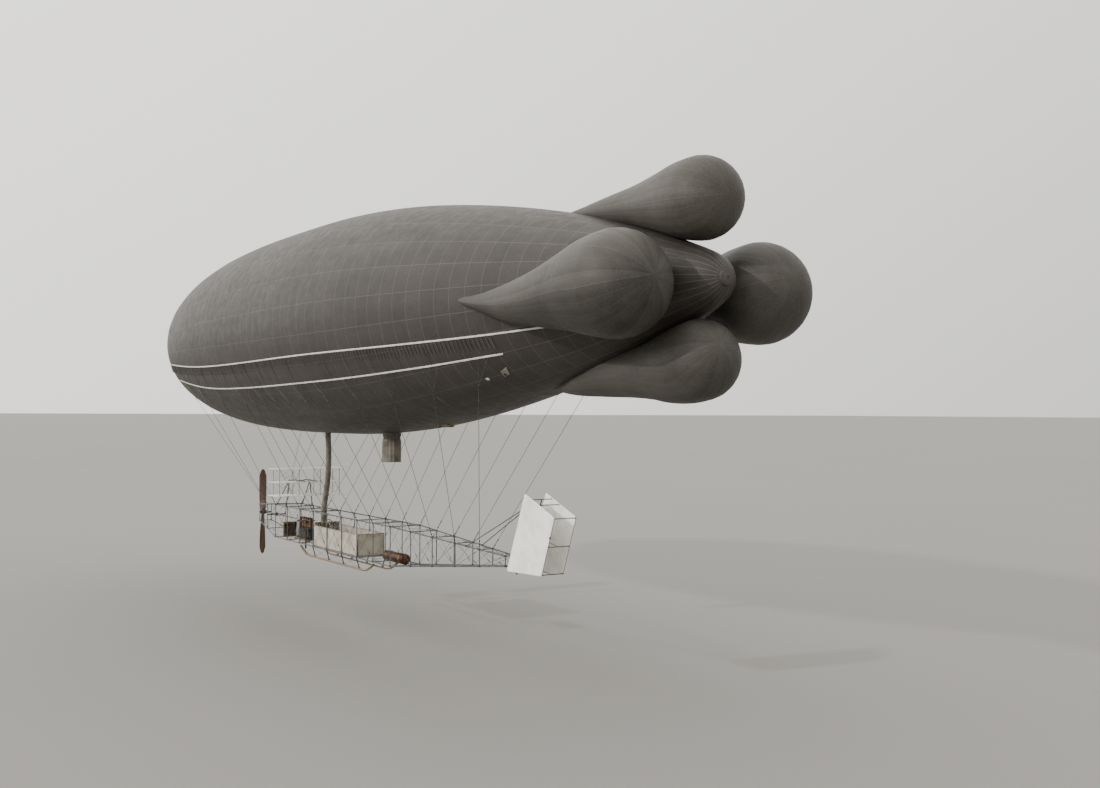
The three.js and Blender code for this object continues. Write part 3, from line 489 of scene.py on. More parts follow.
def octagon(a, b):
    """A square of half width 1 with its corners cut."""
    return [(1, a), (b, 1), (-b, 1), (-1, a), (-1, -a), (-b, -1), (b, -1), (1, -a)]


def two_sided(half):
    """A closed outline from its half at positive y."""
    return half + [(-y, z) for y, z in half[::-1]]


def bolts(form, centre, axis, reach, count, size, height, mark=0):
    """Hexagon heads in a circle round an axis."""
    turn = X.rotation_difference(Vector(axis))
    for a in angles(count):
        place = Vector(centre) + turn @ Vector((0, reach * cos(a), reach * sin(a)))
        form.turned([(0, size), (height * 0.8, size), (height, size * 0.8)], place, axis, 6, mark)


def piece(name, form, finishes, nodes=(), body="airship", crease=35, bevel=0.0, laid=None):
    """Makes an object of a form, in place of one node or a list of them. Laid is where each point lies
    on its pattern. Both it and bevel are in model metres."""
    mesh = bpy.data.meshes.new(name)
    mesh.from_pydata([tuple(p) for p in form.points], [], form.faces)
    mesh.transform(TO_MODEL)
    finishes = finishes if isinstance(finishes, (list, tuple)) else [finishes]
    for finish in finishes:
        mesh.materials.append(finish)
    mesh.polygons.foreach_set("material_index", form.marks)
    pattern = mesh.attributes.new("laid", "FLOAT_VECTOR", "POINT")
    for point, place in zip(pattern.data, laid or [vertex.co for vertex in mesh.vertices]):
        point.vector = place
    work = bmesh.new()
    work.from_mesh(mesh)
    bmesh.ops.remove_doubles(work, verts=work.verts, dist=1e-6)
    bmesh.ops.dissolve_degenerate(work, dist=1e-7, edges=work.edges)
    bmesh.ops.recalc_face_normals(work, faces=work.faces)
    limit = radians(crease)
    for face in work.faces:
        face.smooth = True
    for edge in work.edges:
        edge.smooth = len(edge.link_faces) == 2 and edge.calc_face_angle(0) < limit
    work.to_mesh(mesh)
    work.free()
    made = bpy.data.objects.new(name, mesh)
    bpy.context.scene.collection.objects.link(made)
    if bevel:
        edge = made.modifiers.new("edges", "BEVEL")
        edge.width = bevel
        edge.segments = 2
        edge.limit_method = "ANGLE"
        edge.angle_limit = radians(50)
        edge.harden_normals = True
    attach(made, body)
    if nodes:
        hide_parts(*([nodes] if isinstance(nodes, str) else nodes))
    return made


def mix(a, b, share):
    return tuple(p + (q - p) * share for p, q in zip(a, b))


def look_up(table, at, column=1):
    """A column of a table at a station, straight between its rows."""
    after = min(max(bisect_left([row[0] for row in table], at), 1), len(table) - 1)
    low, high = table[after - 1], table[after]
    share = (at - low[0]) / (high[0] - low[0])
    return low[column] + (high[column] - low[column]) * share


def smooth_curve(rows, square=True):
    """A smooth line through rows of distance and radius. It crosses the axis squarely at both ends, or
    runs out straight where square is False."""
    points = [Vector(row) for row in rows]
    first, last = points[1], points[-2]
    if square:
        points = [Vector((first.x, -first.y)), *points, Vector((last.x, -last.y))]
    else:
        points = [2 * points[0] - first, *points, 2 * points[-1] - last]
    curve = []
    for four in zip(points, points[1:], points[2:], points[3:]):
        spans = [max((q - p).length, 1e-6) ** 0.5 for p, q in zip(four, four[1:])]
        times = [0, spans[0], spans[0] + spans[1], sum(spans)]
        for k in range(CURVE_STEPS):
            t = times[1] + spans[1] * k / CURVE_STEPS
            part = lambda p, q, low, high: p + (q - p) * ((t - times[low]) / (times[high] - times[low]))
            ab, bc, cd = (part(four[i], four[i + 1], i, i + 1) for i in range(3))
            curve.append(part(part(ab, bc, 0, 2), part(bc, cd, 1, 3), 1, 2))
    return [*curve, points[-2]]


def even_profile(curve, step):
    """Points on a curve at even distances along it."""
    table = [(0.0, *curve[0])]
    for p, q in zip(curve, curve[1:]):
        table.append((table[-1][0] + (q - p).length, *q))
    count = round(table[-1][0] / step)
    places = [table[-1][0] * i / count for i in range(count + 1)]
    return [Vector([look_up(table, at, column) for column in (1, 2)]) for at in places]


HULL_CURVE = smooth_curve(HULL)
HULL_TABLE = [(point.x, point.y) for point in HULL_CURVE]
UPPER_LINE, LOWER_LINE = (
    [tuple(point) for point in smooth_curve(belt, square=False)] for belt in (UPPER_BELT, LOWER_BELT))


def hull_radius(station):
    return look_up(HULL_TABLE, min(max(station, 0.0), HULL[-1][0]))


def on_hull(station, angle, out=0.0):
    """A point on the envelope. The angle is 0 at port and a quarter turn at the top."""
    slope = (hull_radius(station + 0.05) - hull_radius(station - 0.05)) / 0.1
    lean = atan(slope)
    radius = hull_radius(station) + out * cos(lean)
    return Vector((station - out * sin(lean), radius * cos(angle), radius * sin(angle)))


def belt_angle(belt, station):
    return asin(look_up(belt, station) / hull_radius(station))


# Envelope
def pillow(angle, gores, turn):
    """How far a gore stands out, from -0.5 on its seams to 0.5 in its middle."""
    share = (angle * gores / TURN + turn) % 1
    return 4 * share * (1 - share) - 0.5


def envelope():
    rings = []
    for point in even_profile(HULL_CURVE, HULL_STEP):
        ring = []
        for a in angles(HULL_SIDES):
            radius = max(point.y, 0.004) * (1 + PILLOW["hull"] * pillow(a, HULL_GORES, HULL_TURN))
            ring.append((point.x, radius * cos(a), radius * sin(a)))
        rings.append(ring)
    form = Form()
    form.loft(rings)
    names = [f"envelope_{level}_{side}" for level in ("top", "bottom") for side in ("port", "starboard")]
    piece("envelope_skin", form, HULL_CLOTH, names, crease=60)


def lobe(name, outline, radius, bulb, tip, lean, twist, turn, contrast, light, painted_light_slope):
    """A pear-shaped cell. What would lie inside the envelope is drawn in to just under its skin. Its
    pattern is turned near the pole, because the bulb's seams meet off its axis."""
    way = Vector(tip) - Vector(bulb)
    length = way.length
    back = [(-radius * cos(a), radius * sin(a)) for a in angles(48)[:12]]
    curve = smooth_curve(back + [(row[0] * length, row[1] * radius) for row in outline])
    drops = [tuple(p) for p in smooth_curve([(row[0] * length, row[2]) for row in outline], square=False)]
    aim = X.rotation_difference(way)
    lift, yaw = (radians(angle) for angle in lean)
    form = Form()
    rings, laid = [], []
    for point in even_profile(curve, 0.07):
        along = max(point.x, 0)
        share = max(1 - along / (0.35 * length), 0)
        back_turn = (Quaternion(Y, lift * share) @ Quaternion(Z, -yaw * share)).inverted()
        wound = radians(twist * min(max(along - 0.6, 0), 3.2))
        spine = X * along
        drop = Z * look_up(drops, min(along, length))
        ring = []
        for a in angles(LOBE_SIDES):
            r = max(point.y, 0.003)
            flat = Vector((point.x - along, r * cos(a - wound), r * sin(a - wound)))
            pattern = spine + back_turn @ flat
            r *= 1 + PILLOW["lobe"] * pillow(atan2(pattern.z, pattern.y), LOBE_GORES, turn)
            place = Vector(bulb) + aim @ Vector((point.x, r * cos(a), r * sin(a))) - drop
            off = hypot(place.y, place.z)
            skin = hull_radius(place.x) - 0.03
            if 0 < place.x and off < skin:
                place.y *= skin / max(off, 1e-6)
                place.z *= skin / max(off, 1e-6)
            ring.append(place)
            laid.append(pattern * SCALE)
        rings.append(ring)
    form.loft(rings)
    # The cloth's last two values paint light: a lift set per lobe, and a change of tone with height on the
    # lobe.
    cloth = seamed_fabric(
        name + "_cloth", LOBE_GORES, 0, turn, contrast, 0.02, LOBE_CLOTH, GORE_TONES, light, painted_light_slope)
    piece(name + "_skin", form, cloth, name, crease=60, laid=laid)


def car_point(station, side, column):
    """A corner of the car's girder. Column 2 is its bottom and 3 its top."""
    half, height = (look_up(CAR_SHAPE, station, k) for k in (1, column))
    return Vector((station, side * half, height))


# Belts, stays and fittings on the envelope
def laid_band(form, places, half, thick, mark=0):
    """A band that lies on the envelope along places of station and angle. Half its width and its
    thickness are single values or lists."""
    points = [on_hull(*place) for place in places]
    rings = []
    for i, place in enumerate(places):
        out = (on_hull(*place, 0.1) - points[i]).normalized()
        way = points[min(i + 1, len(points) - 1)] - points[max(i - 1, 0)]
        side = way.cross(out).normalized()
        reach, rise = (v[i] if hasattr(v, "__len__") else v for v in (half, thick))
        square = lambda v: copysign(abs(v) ** 0.5, v)
        rings.append([
            points[i] + side * reach * square(cos(a)) + out * rise * square(sin(a)) for a in angles(8)])
    form.loft(rings, mark)


def belts():
    """Two belts of webbing pockets on the port side, with short tabs and longer straps between them. A dark
    band under each belt is painted shadow, and the dark tabs are partly painted shadows of cords.
    """
    form = Form()
    for belt in (UPPER_LINE, LOWER_LINE):
        first, last = belt[0][0], belt[-1][0]
        stations = [first + (last - first) * i / 90 for i in range(91)]
        # A dark band laid just under each belt is the belt's painted shadow on the envelope.
        edge = [(x, belt_angle(belt, x) - 0.03 / hull_radius(x)) for x in stations]
        laid_band(form, edge, 0.03, 0.012, 1)
        count = round((last - first) / BELT["pocket"])
        pocket = (last - first) / count
        for i in range(count):
            steps = [first + pocket * (i + share) for share in (0.0, 0.08, 0.5, 0.92, 1.0)]
            places = [(x, belt_angle(belt, x)) for x in steps]
            halves = [BELT["half"] * share for share in (0.8, 0.95, 1, 0.95, 0.8)]
            laid_band(form, places, halves, [BELT["thick"] * s for s in (0.6, 0.9, 1, 0.9, 0.6)])
    # Dark tabs hanging from the upper belt stand partly for cords and partly for their painted shadows.
    for i in range(TABS_AND_PAINTED_SHADOWS["count"]):
        x = TABS_AND_PAINTED_SHADOWS["first"] + TABS_AND_PAINTED_SHADOWS["pitch"] * i
        top = belt_angle(UPPER_LINE, x)
        rings = []
        for drop in (0.05, 0.25, TABS_AND_PAINTED_SHADOWS["drop"]):
            angle = top - drop / hull_radius(x)
            ends = [on_hull(x + side * 0.02, angle, 0.012 + 0.12 * drop) for side in (1, -1)]
            backs = [on_hull(x + side * 0.02, angle, 0.004 + 0.12 * drop) for side in (-1, 1)]
            rings.append(ends + backs)
        form.loft(rings, 1)
    for i in range(STRAPS["count"]):
        x = LOWER_LINE[0][0] + STRAPS["first"] + STRAPS["pitch"] * i
        ends = belt_angle(LOWER_LINE, x), belt_angle(UPPER_LINE, x)
        places = [(x, ends[0] + (ends[1] - ends[0]) * share / 4) for share in range(5)]
        laid_band(form, places, 0.025, 0.014, 1)
    return form


def stays():
    """Cables from the car to the lower belt, with a turnbuckle at the foot of each. Each ends in a ring
    with three legs."""
    form = Form()
    turnbuckle = [(0, 0.01), (0.02, 0.024), (0.06, 0.024), (0.08, 0.015), (0.3, 0.015), (0.32, 0.024),
                  (0.36, 0.024), (0.38, 0.01)]
    for car, belt in STAYS:
        legs = [on_hull(x, belt_angle(LOWER_LINE, x), 0.015) for x in (belt - LEG, belt, belt + LEG)]
        foot = car_point(car, PORT, 3)
        way = (legs[1] - foot).normalized()
        foot += way * 0.028
        knot = foot.lerp(legs[1], 0.86)
        form.rod(foot, knot, 0.01)
        form.turned(turnbuckle, foot + way * 0.08, way, 10, 1)
        form.turned([(-0.03, 0.012), (-0.01, 0.026), (0.01, 0.026), (0.03, 0.012)], knot, way, 10, 1)
        for leg in legs:
            form.rod(knot, leg, 0.008, 6)
    return form


def neck_sleeve():
    """The inflation neck: a folded sleeve of cloth, tied near its top, with a rope in its hem."""
    form = Form((NECK["station"], 0, 0.12 - hull_radius(NECK["station"])))
    outer, inner = [], []
    for i in range(25):
        share = i / 24
        drop = NECK["reach"] * share
        tied = 0.05 * exp(-((drop - 0.32) / 0.09) ** 2)
        for rings, wall in ((outer, 0.012), (inner, 0.028)):
            ring = []
            for a in angles(96):
                fold = 0.012 * cos(16 * a) * min(drop / 0.3, 1) + 0.015 * (i > 1) * cos(3 * a) * share
                r = NECK["radius"] - wall - tied - fold
                ring.append(Vector((r * cos(a), r * sin(a), -drop * NECK["spread"])))
            rings.append(ring)
    form.loft(outer + inner[::-1], looped=True)
    form.sweep([p + Z * 0.012 for p in outer[-1][::2]], 0.014, 6, 1, looped=True)
    form.sweep(outer[6][::2], 0.014, 6, 1, looped=True)
    sleeve = piece("neck_fabric", form, [NECK_CLOTH, ROPE], "inflation_neck", crease=70)


def end_caps():
    """An aluminium cap on the nose and a cloth patch on the tail's pole."""
    nose = Form((HULL[-1][0], 0, 0))
    nose.turned([(-0.4, 0.44), (-0.1, 0.45), (-0.02, 0.43), (0.05, 0.36), (0.08, 0.2), (0.085, 0.001)],
                ORIGIN, X, 48)
    bolts(nose, X * -0.015, X, 0.395, 16, 0.014, 0.045, 1)
    nose.turned([(0.05, 0.06), (0.07, 0.11), (0.1, 0.11), (0.11, 0.05)], ORIGIN, X, mark=1)
    piece("nose_plate", nose, [ALUMINIUM, IRON], "nose_cap", bevel=0.002)

    tail = Form()
    tail.turned([(0.3, 0.26), (0.02, 0.27), (-0.02, 0.26), (-0.045, 0.2), (-0.05, 0.001)], ORIGIN, X, 48)
    tail.turned([(-0.045, 0.001), (-0.056, 0.03), (-0.056, 0.05), (-0.045, 0.07)], ORIGIN, X, mark=1)
    piece("tail_patch", tail, [HULL_CLOTH, DARK_WEBBING_AND_PAINTED_SHADOW], "tail_cap")


def gas_valve(name, station, up):
    """A brass ring round a spring-loaded lid. Up is 1 on top of the envelope and -1 below it."""
    slope = (hull_radius(station + 0.2) - hull_radius(station - 0.2)) / 0.4
    out = Vector((-slope, 0, up)).normalized()
    form = Form((station, 0, up * hull_radius(station)))
    form.turned([(-0.1, 0.4), (0.02, 0.4), (0.045, 0.385), (0.045, 0.31), (-0.1, 0.3)], ORIGIN, out, 48,
                looped=True)
    form.turned([(-0.1, 0.29), (0.02, 0.285), (0.04, 0.2), (0.045, 0.06), (0.07, 0.05), (0.075, 0.001)],
                ORIGIN, out, 48, 1)
    bolts(form, out * 0.04, out, 0.35, 20, 0.016, 0.02, 2)
    for y in (-0.33, 0.33):
        form.rod(Y * y, Y * y + out * 0.075, 0.018, 10, 2)
    form.rod(out * 0.072 - Y * 0.35, out * 0.072 + Y * 0.35, 0.014, 10, 2)
    piece(name + "_body", form, [BRASS, ALUMINIUM, IRON], name, bevel=0.0015)


def side_valve():
    """A small valve on its diamond patch, which puffs out between its rows of stitches."""
    station, middle = SIDE_VALVE
    place = lambda u, v, out: on_hull(station + u, middle + v / hull_radius(station), out)
    low, rear, high, front = PATCH
    rings = []
    for i in range(17):
        ends = [mix(a, b, i / 16) for a, b in ((low, rear), (front, high))]
        row = [mix(*ends, j / 16) for j in range(17)]
        puff = [0.012 + 0.012 * abs(sin(pi * i / 4) * sin(pi * j / 4)) ** 0.5 for j in range(17)]
        top = [place(*at, out) for at, out in zip(row, puff)]
        rings.append(top + [place(*at, -0.02) for at in row[::-1]])
    form = Form()
    form.loft(rings)
    out = (place(0, 0, 1) - place(0, 0, 0)).normalized()
    form.turned([(0, 0.07), (0.035, 0.07), (0.045, 0.06), (0.045, 0.042), (0.028, 0.035), (0.028, 0.001)],
                place(*VALVE_EYE, 0), out, mark=1)
    piece("side_valve_patch", form, [PATCH_CLOTH, IRON], "side_valve", crease=50)


def belly_fittings():
    """A pale ring and a line on the envelope's belly."""
    seat = on_hull(*BELLY_RING)
    out = (on_hull(*BELLY_RING, 1) - seat).normalized()
    ring = Form(seat)
    ring.turned([(-0.02, 0.07), (0.02, 0.07), (0.03, 0.05), (0.03, 0.001)], ORIGIN, out, 20)
    side = out.cross(X)
    ring.sweep([out * 0.05 + side * (0.05 * sin(a) - 0.05) + X * (0.05 * cos(a)) for a in angles(20)], 0.01,
               looped=True)
    piece("belly_ring", ring, DIAL_WHITE)
    line = Form()
    angle = lambda share: radians(BELLY_LINE["start"] + BELLY_LINE["turn"] * share)
    laid_band(line, [(BELLY_LINE["station"], angle(i / 20)) for i in range(21)], 0.012, 0.014)
    piece("belly_line", line, ROPE)


# Car
def girder(name, first, last):
    """A length of the car: longerons, frames with clamps, and crossed wires with turnbuckles."""
    form = Form()
    corners = [(PORT, 3), (PORT, 2), (STARBOARD, 2), (STARBOARD, 3)]
    frames = [CAR_REAR + BAY * i for i in range(first, last + 1)]
    for corner in corners:
        points = [car_point(x, *corner) for x in frames]
        ends = (points[1] - points[0]).normalized() * 0.023, (points[-1] - points[-2]).normalized() * 0.022
        points[0] += ends[0] * (1 if first else -1)
        points[-1] += ends[1]
        form.sweep(points, LONGERON, 14)
    for x in frames[1 if first else 0:]:
        at = [car_point(x, *corner) for corner in corners]
        open_top = PIT["rear"] + 0.1 < x < PIT["front"] - 0.1
        for k in range(3 if open_top else 4):
            form.rod(at[k], at[(k + 1) % 4], FRAME_TUBE, 12)
        for corner in at:
            form.turned([(-0.075, 0.034), (-0.065, 0.038), (0, 0.038), (0, 0.045), (0.015, 0.045)],
                        corner, X, 14, 1)
            bolts(form, corner - X * 0.035, Y * copysign(1, corner.y), 0, 1, 0.013, 0.05, 1)
    for rear, front in zip(frames, frames[1:]):
        for k in range(4):
            if k == 3 and PIT["rear"] - 0.1 < rear < PIT["front"] - 0.1:
                continue
            a, b = corners[k], corners[(k + 1) % 4]
            for one, two in ((a, b), (b, a)):
                start, end = car_point(rear, *one), car_point(front, *two)
                way = (end - start).normalized()
                form.rod(start + way * 0.05, end - way * 0.05, 0.007, 6, 2)
                form.turned([(-0.1, 0.007), (-0.09, 0.016), (0.09, 0.016), (0.1, 0.007)],
                            start.lerp(end, 0.2), way, 8, 1)
    piece(name + "_frame", form, [STEEL, IRON, CABLE], name, crease=50)


def pit():
    outer = CAR_HALF - LONGERON
    rear, front = PIT["rear"] + LONGERON, PIT["front"] - LONGERON
    battens = (rear + 0.12, 28.2, 30.1, front - 0.12)
    floor = Form()
    for i in range(9):
        ys = [outer * (2 * (i + share) / 9 - 1) for share in (0.03, 0.97)]
        floor.box((rear, front), ys, (DECK + 0.004, PIT_FLOOR))
        for x in battens:
            for y in (ys[0] + 0.03, ys[1] - 0.03):
                floor.turned([(-0.001, 0.008), (0.002, 0.008), (0.003, 0.004)], (x, y, PIT_FLOOR), Z, 6, 1)
    for x in battens:
        floor.box(about(x, 0.05), about(0, outer - 0.02), (DECK, DECK + 0.006))
    piece("pit_planks", floor, [PLANK, IRON], "pit_floor", bevel=0.0015)

    wall_low = PIT_FLOOR + 0.01
    height = PIT["wallTop"] - wall_low
    for label, side in SIDES:
        place = lambda u, v, out: Vector((u, side * (outer - 0.012 + out), wall_low + v * height))
        laced_panel("pit_canvas_" + label, "pit_side_" + label, rear + 0.02, front - 0.02, place)
    place = lambda u, v, out: Vector((rear + 0.012 + out, u, wall_low + v * height))
    laced_panel("pit_canvas_back", "pit_back", -outer + 0.05, outer - 0.05, place)
    instrument_board(front, outer - 0.035, wall_low)


def crew_bench():
    bench = Form((PIT["rear"] + 0.5, 0, PIT_FLOOR))
    for i in range(5):
        bench.box((0.09 * i + 0.006, 0.09 * i + 0.084), (-0.55, 0.55), (0.405, 0.44))
    for y in (-0.48, 0.48):
        for leg in (0.07, 0.37):
            bench.box(about(leg, 0.025), about(y, 0.02), (0.001, 0.39))
        bench.box((0.05, 0.4), about(y, 0.018), (0.365, 0.405))
        bench.box((0.07, 0.37), about(y, 0.012), (0.12, 0.16))
    bench.box((0.21, 0.24), (-0.48, 0.48), (0.12, 0.16))
    piece("slatted_bench", bench, PLANK, "crew_bench", bevel=0.002)


def instrument_board(station, half, low):
    """The board across the pit's front, with four dials that have ticks and a hand but no text."""
    form = Form((station, 0, PIT["wallTop"]))
    form.box((-0.022, -0.006), about(0, half), (low - PIT["wallTop"], 0.13))
    form.rod((-0.015, -half, 0.135), (-0.015, half, 0.135), 0.014, 12)
    for y, z, radius in DIALS:
        seat = (-0.022, y, z)
        form.turned([(0, radius), (0.02, radius), (0.028, radius * 0.9), (0.02, radius * 0.84),
                     (0.012, 0.001)], seat, -X, 32, 1)
        form.turned([(0, radius * 0.86), (0.014, radius * 0.86), (0.015, 0.001)], seat, -X, 32, 2)
        centre = Vector((-0.037, y, z))
        for a in angles(12)[:11]:
            tick = centre + Vector((0, sin(a - 2.6), cos(a - 2.6))) * (radius * 0.72)
            form.rod(tick, tick.lerp(centre, 0.16), radius * 0.02, 4, 3)
        hand = Vector((-0.039, y, z))
        form.rod(hand, hand + Vector((0, radius * 0.5, radius * 0.45)), radius * 0.03, 6, 3)
    bolts(form, (-0.022, 0, -0.35), -X, 0.2, 6, 0.012, 0.01, 1)
    piece("instrument_board", form, [ALUMINIUM, BRASS, DIAL_WHITE, IRON], "pit_dash",
          bevel=0.0015)


def laced_panel(name, node, start, end, place):
    """A canvas panel with a rolled hem, laced with cord to the tubes round it."""
    count = max(round((end - start) / 0.07), 2)
    sheet = Form()
    rings = []
    for i in range(count + 1):
        u = start + (end - start) * i / count
        spots = []
        for v in (j / 12 for j in range(13)):
            slack = 0.008 * sin(pi * v) * cos(TURN * (u - start) / 0.95) + 0.003 * cos(9 * u + 5 * v)
            spots.append((u, v, slack))
        rings.append([place(u, v, out + 0.004) for u, v, out in spots] +
                     [place(u, v, out - 0.004) for u, v, out in spots[::-1]])
    sheet.loft(rings)
    made = piece(name, sheet, CAR_CANVAS, node, crease=60)
    edge = Form()
    corners = [place(start, 0, 0), place(start, 1, 0), place(end, 1, 0), place(end, 0, 0)]
    for a, b in zip(corners, corners[1:] + corners[:1]):
        edge.rod(a, b, 0.011)
    steps = round((end - start) / 0.2)
    for i in range(steps + 1):
        u = start + 0.03 + (end - start - 0.06) * i / steps
        for v, rim in ((0.04, 0), (0.96, 1)):
            centre = place(u, v, 0)
            across = (place(u, v, 1) - centre).normalized()
            edge.turned([(-0.009, 0.016), (-0.007, 0.018), (0.007, 0.018), (0.009, 0.016), (0.009, 0.008),
                         (-0.009, 0.008)], centre, across, 10, 1, looped=True)
            edge.sweep([place(u, v, 0.01), place(u + 0.02, rim, 0.016), place(u + 0.02, rim, -0.016),
                        place(u, v, -0.01)], 0.004, 5, looped=True)
    piece(name + "_edge", edge, [ROPE, BRASS], node)


def hand_wheel(name, centre, axle, radius):
    """A wooden rim on iron spokes, with a cable drum on the column behind it."""
    side = axle.orthogonal().normalized()
    up = axle.cross(side)
    spot = lambda a, r: (side * cos(a) + up * sin(a)) * r
    form = Form(centre)
    form.sweep([spot(a, radius) for a in angles(40)], 0.019, 10, looped=True)
    for a in angles(6):
        form.rod(spot(a, 0.02), spot(a, radius - 0.01), 0.009, 8, 1)
        form.sweep([spot(a, radius + 0.018), spot(a, radius + 0.05)], [0.012, 0.015])
    form.turned([(-0.12, 0.045), (-0.105, 0.055), (-0.05, 0.04), (-0.035, 0.055), (-0.02, 0.035),
                 (0.02, 0.035), (0.03, 0.02), (0.031, 0.001)], ORIGIN, axle, 20, 1)
    base = PIT_FLOOR + 0.002 - centre[2]
    foot = -0.12 * axle + Z * base
    form.turned([(0, 0.075), (0.012, 0.075), (0.03, 0.035), (-base - 0.06, 0.026), (0.02 - base, 0.04),
                 (0.04 - base, 0.02)], foot, Z, 20, 1)
    bolts(form, foot + Z * 0.012, Z, 0.058, 6, 0.009, 0.008, 1)
    piece(name + "_hand_wheel", form, [RIM_WOOD, IRON], name + "_wheel", bevel=0.001)


def landing_skid(label, side):
    """A wooden runner with a turned-up nose and tail on braced iron legs."""
    y = SKID["y"]
    form = Form((0, 0, CAR_LOW - SKID["drop"]))
    route = [Vector((x, 0, z)) for x, z in SKID_LINE]
    rings = []
    for place, before, after in zip(route, route[:1] + route, route[1:] + route[-1:]):
        up = (after - before).normalized().cross(Y) * -0.042
        rings.append([place + Y * (y + s * SKID["half"]) + up * t for s, t in octagon(0.6, 0.8)])
    form.loft(rings)
    form.box((25.95, 32.75), about(y, 0.04), (0, 0.006), 1)
    for x in SKID["legs"]:
        foot, head = Vector((x, y, 0.1)), Vector((x, CAR_HALF, 0.56))
        way = (head - foot).normalized()
        form.rod(foot, head, 0.026, 12, 1)
        form.box(about(x, 0.07), about(y, 0.05), (0.085, 0.1), 1)
        bolts(form, foot, Z, 0.045, 4, 0.01, 0.012, 1)
        form.turned([(-0.07, 0.03), (-0.01, 0.034), (0, 0.028)], head, way, 12, 1)
        if x < SKID["legs"][-1]:
            form.rod(foot, head + X * BAY, 0.007, 6, 2)
            form.rod(foot + X * BAY, head, 0.007, 6, 2)
    piece("skid_" + label, form.on(side), [PLANK, IRON, CABLE], "landing_skid_" + label,
          bevel=0.0015)


# Engine and its drive
def engine_bed():
    bed = Form((ENGINE_REAR, 0, DECK))
    for y in (0.24, -0.24):
        bed.box((-0.1, BAY + 0.1), about(y, 0.06), (0, 0.1))
        for x in (-0.03, BAY + 0.03):
            bed.box(about(x, 0.03), about(y, 0.064), (0.005, 0.104), 1)
    for x in (0.4, 1.5):
        bed.box((x, x + 0.1), (-0.24, 0.24), (0.02, 0.09))
    piece("engine_bearers", bed, [PLANK, IRON], "engine_bed", bevel=0.002)


def engine():
    """Three crankcase blocks, four finned cylinders, and their pipes, leads, pump and magneto."""
    form = Form(ENGINE_FLOOR)
    crankcase = two_sided([(0.2, 0.012), (0.3, 0.05), (0.3, 0.1), (0.22, 0.14), (0.22, 0.42), (0.26, 0.46),
                           (0.26, 0.545)])
    for x in (0.14, 0.62, 1.1):
        form.loft([[(at, y, z) for y, z in crankcase] for at in (x, x + 0.44)])
    form.loft([[(at, y * 0.97, 0.01 + z * 0.97) for y, z in crankcase] for at in (0.15, 1.55)])
    jacket = [(0.11, 0.112)]
    for i in range(8):
        fin = 0.12 + 0.045 * i
        jacket += [(fin, 0.139), (fin + 0.02, 0.142), (fin + 0.037, 0.136)]
    for i, x in enumerate(CYLINDERS):
        seat = (x, 0, 0.53)
        form.turned([(0, 0.145), (0.03, 0.145), (0.035, 0.115), (0.12, 0.11)], seat, Z, 32)
        form.turned(jacket + [(0.5, 0.13), (0.54, 0.1)], seat, Z, 32, 1)
        form.turned([(0.52, 0.09), (0.57, 0.085), (0.59, 0.05), (0.62, 0.045), (0.625, 0.001)], seat, Z)
        bolts(form, (x, 0, 0.56), Z, 0.128, 8, 0.012, 0.02, 2)
        for y in (-0.06, 0.06):
            form.rod((x - 0.05, y, 1.05), (x - 0.05, y, 1.148), 0.016, 10, 2)
            form.rod((x - 0.07, y, 1.13), (x + 0.06, 0, 1.13), 0.009, 8, 2)
        form.rod((x + 0.08, -0.13, 0.55), (x + 0.08, -0.12, 1.1), 0.008, 8, 2)
        form.sweep([(x, -0.12, 1), (x, -0.19, 1), (x + 0.04, -0.2, 1)], 0.025, 10, 1)
        form.sweep([(0.4, -0.25 + 0.01 * i, 0.36), (0.42 + 0.05 * i, -0.25, 0.5), (x - 0.06, -0.15, 0.7),
                    (x - 0.06, -0.1, 1.09)], 0.006, 6, 3)
    form.rod((0.3, -0.21, 1), (1.42, -0.21, 1), 0.03, 14, 1)
    form.turned([(0, 0.05), (0.1, 0.06), (0.16, 0.06), (0.17, 0.03)], (0.85, -0.24, 0.6), Z, 18, 2)
    form.rod((0.85, -0.24, 0.75), (0.85, -0.21, 1), 0.02, 10, 1)
    form.box((0.3, 0.5), (-0.29, -0.2), (0.2, 0.36), 2)
    form.rod((0.5, -0.25, 0.28), (0.6, -0.25, 0.28), 0.04, 14, 2)
    piece("engine_block", form, [IRON, COPPER, BRASS, DARK_RUBBER], "engine", bevel=0.001)


def gearbox():
    axle = SHAFT["z"] - ENGINE_FLOOR.z
    gear = Form(ENGINE_FLOOR)
    case = two_sided([(0.24, 0.01), (0.24, 0.3), (0.17, axle + 0.12), (0.1, axle + 0.19)])
    gear.loft([[(x, y * s, z * s) for y, z in case] for x, s in ((1.57, 1), (1.94, 1), (1.99, 0.93))])
    gear.turned([(-0.2, 0.13), (-0.12, 0.12), (-0.02, 0.11), (-0.012, 0.07)],
                (SHAFT["rear"] - ENGINE_REAR, 0, axle), X, 32)
    bolts(gear, (1.98, 0, axle), X, 0.155, 8, 0.012, 0.02, 1)
    piece("gear_case", gear, [ALUMINIUM, IRON], "gearbox", bevel=0.003)


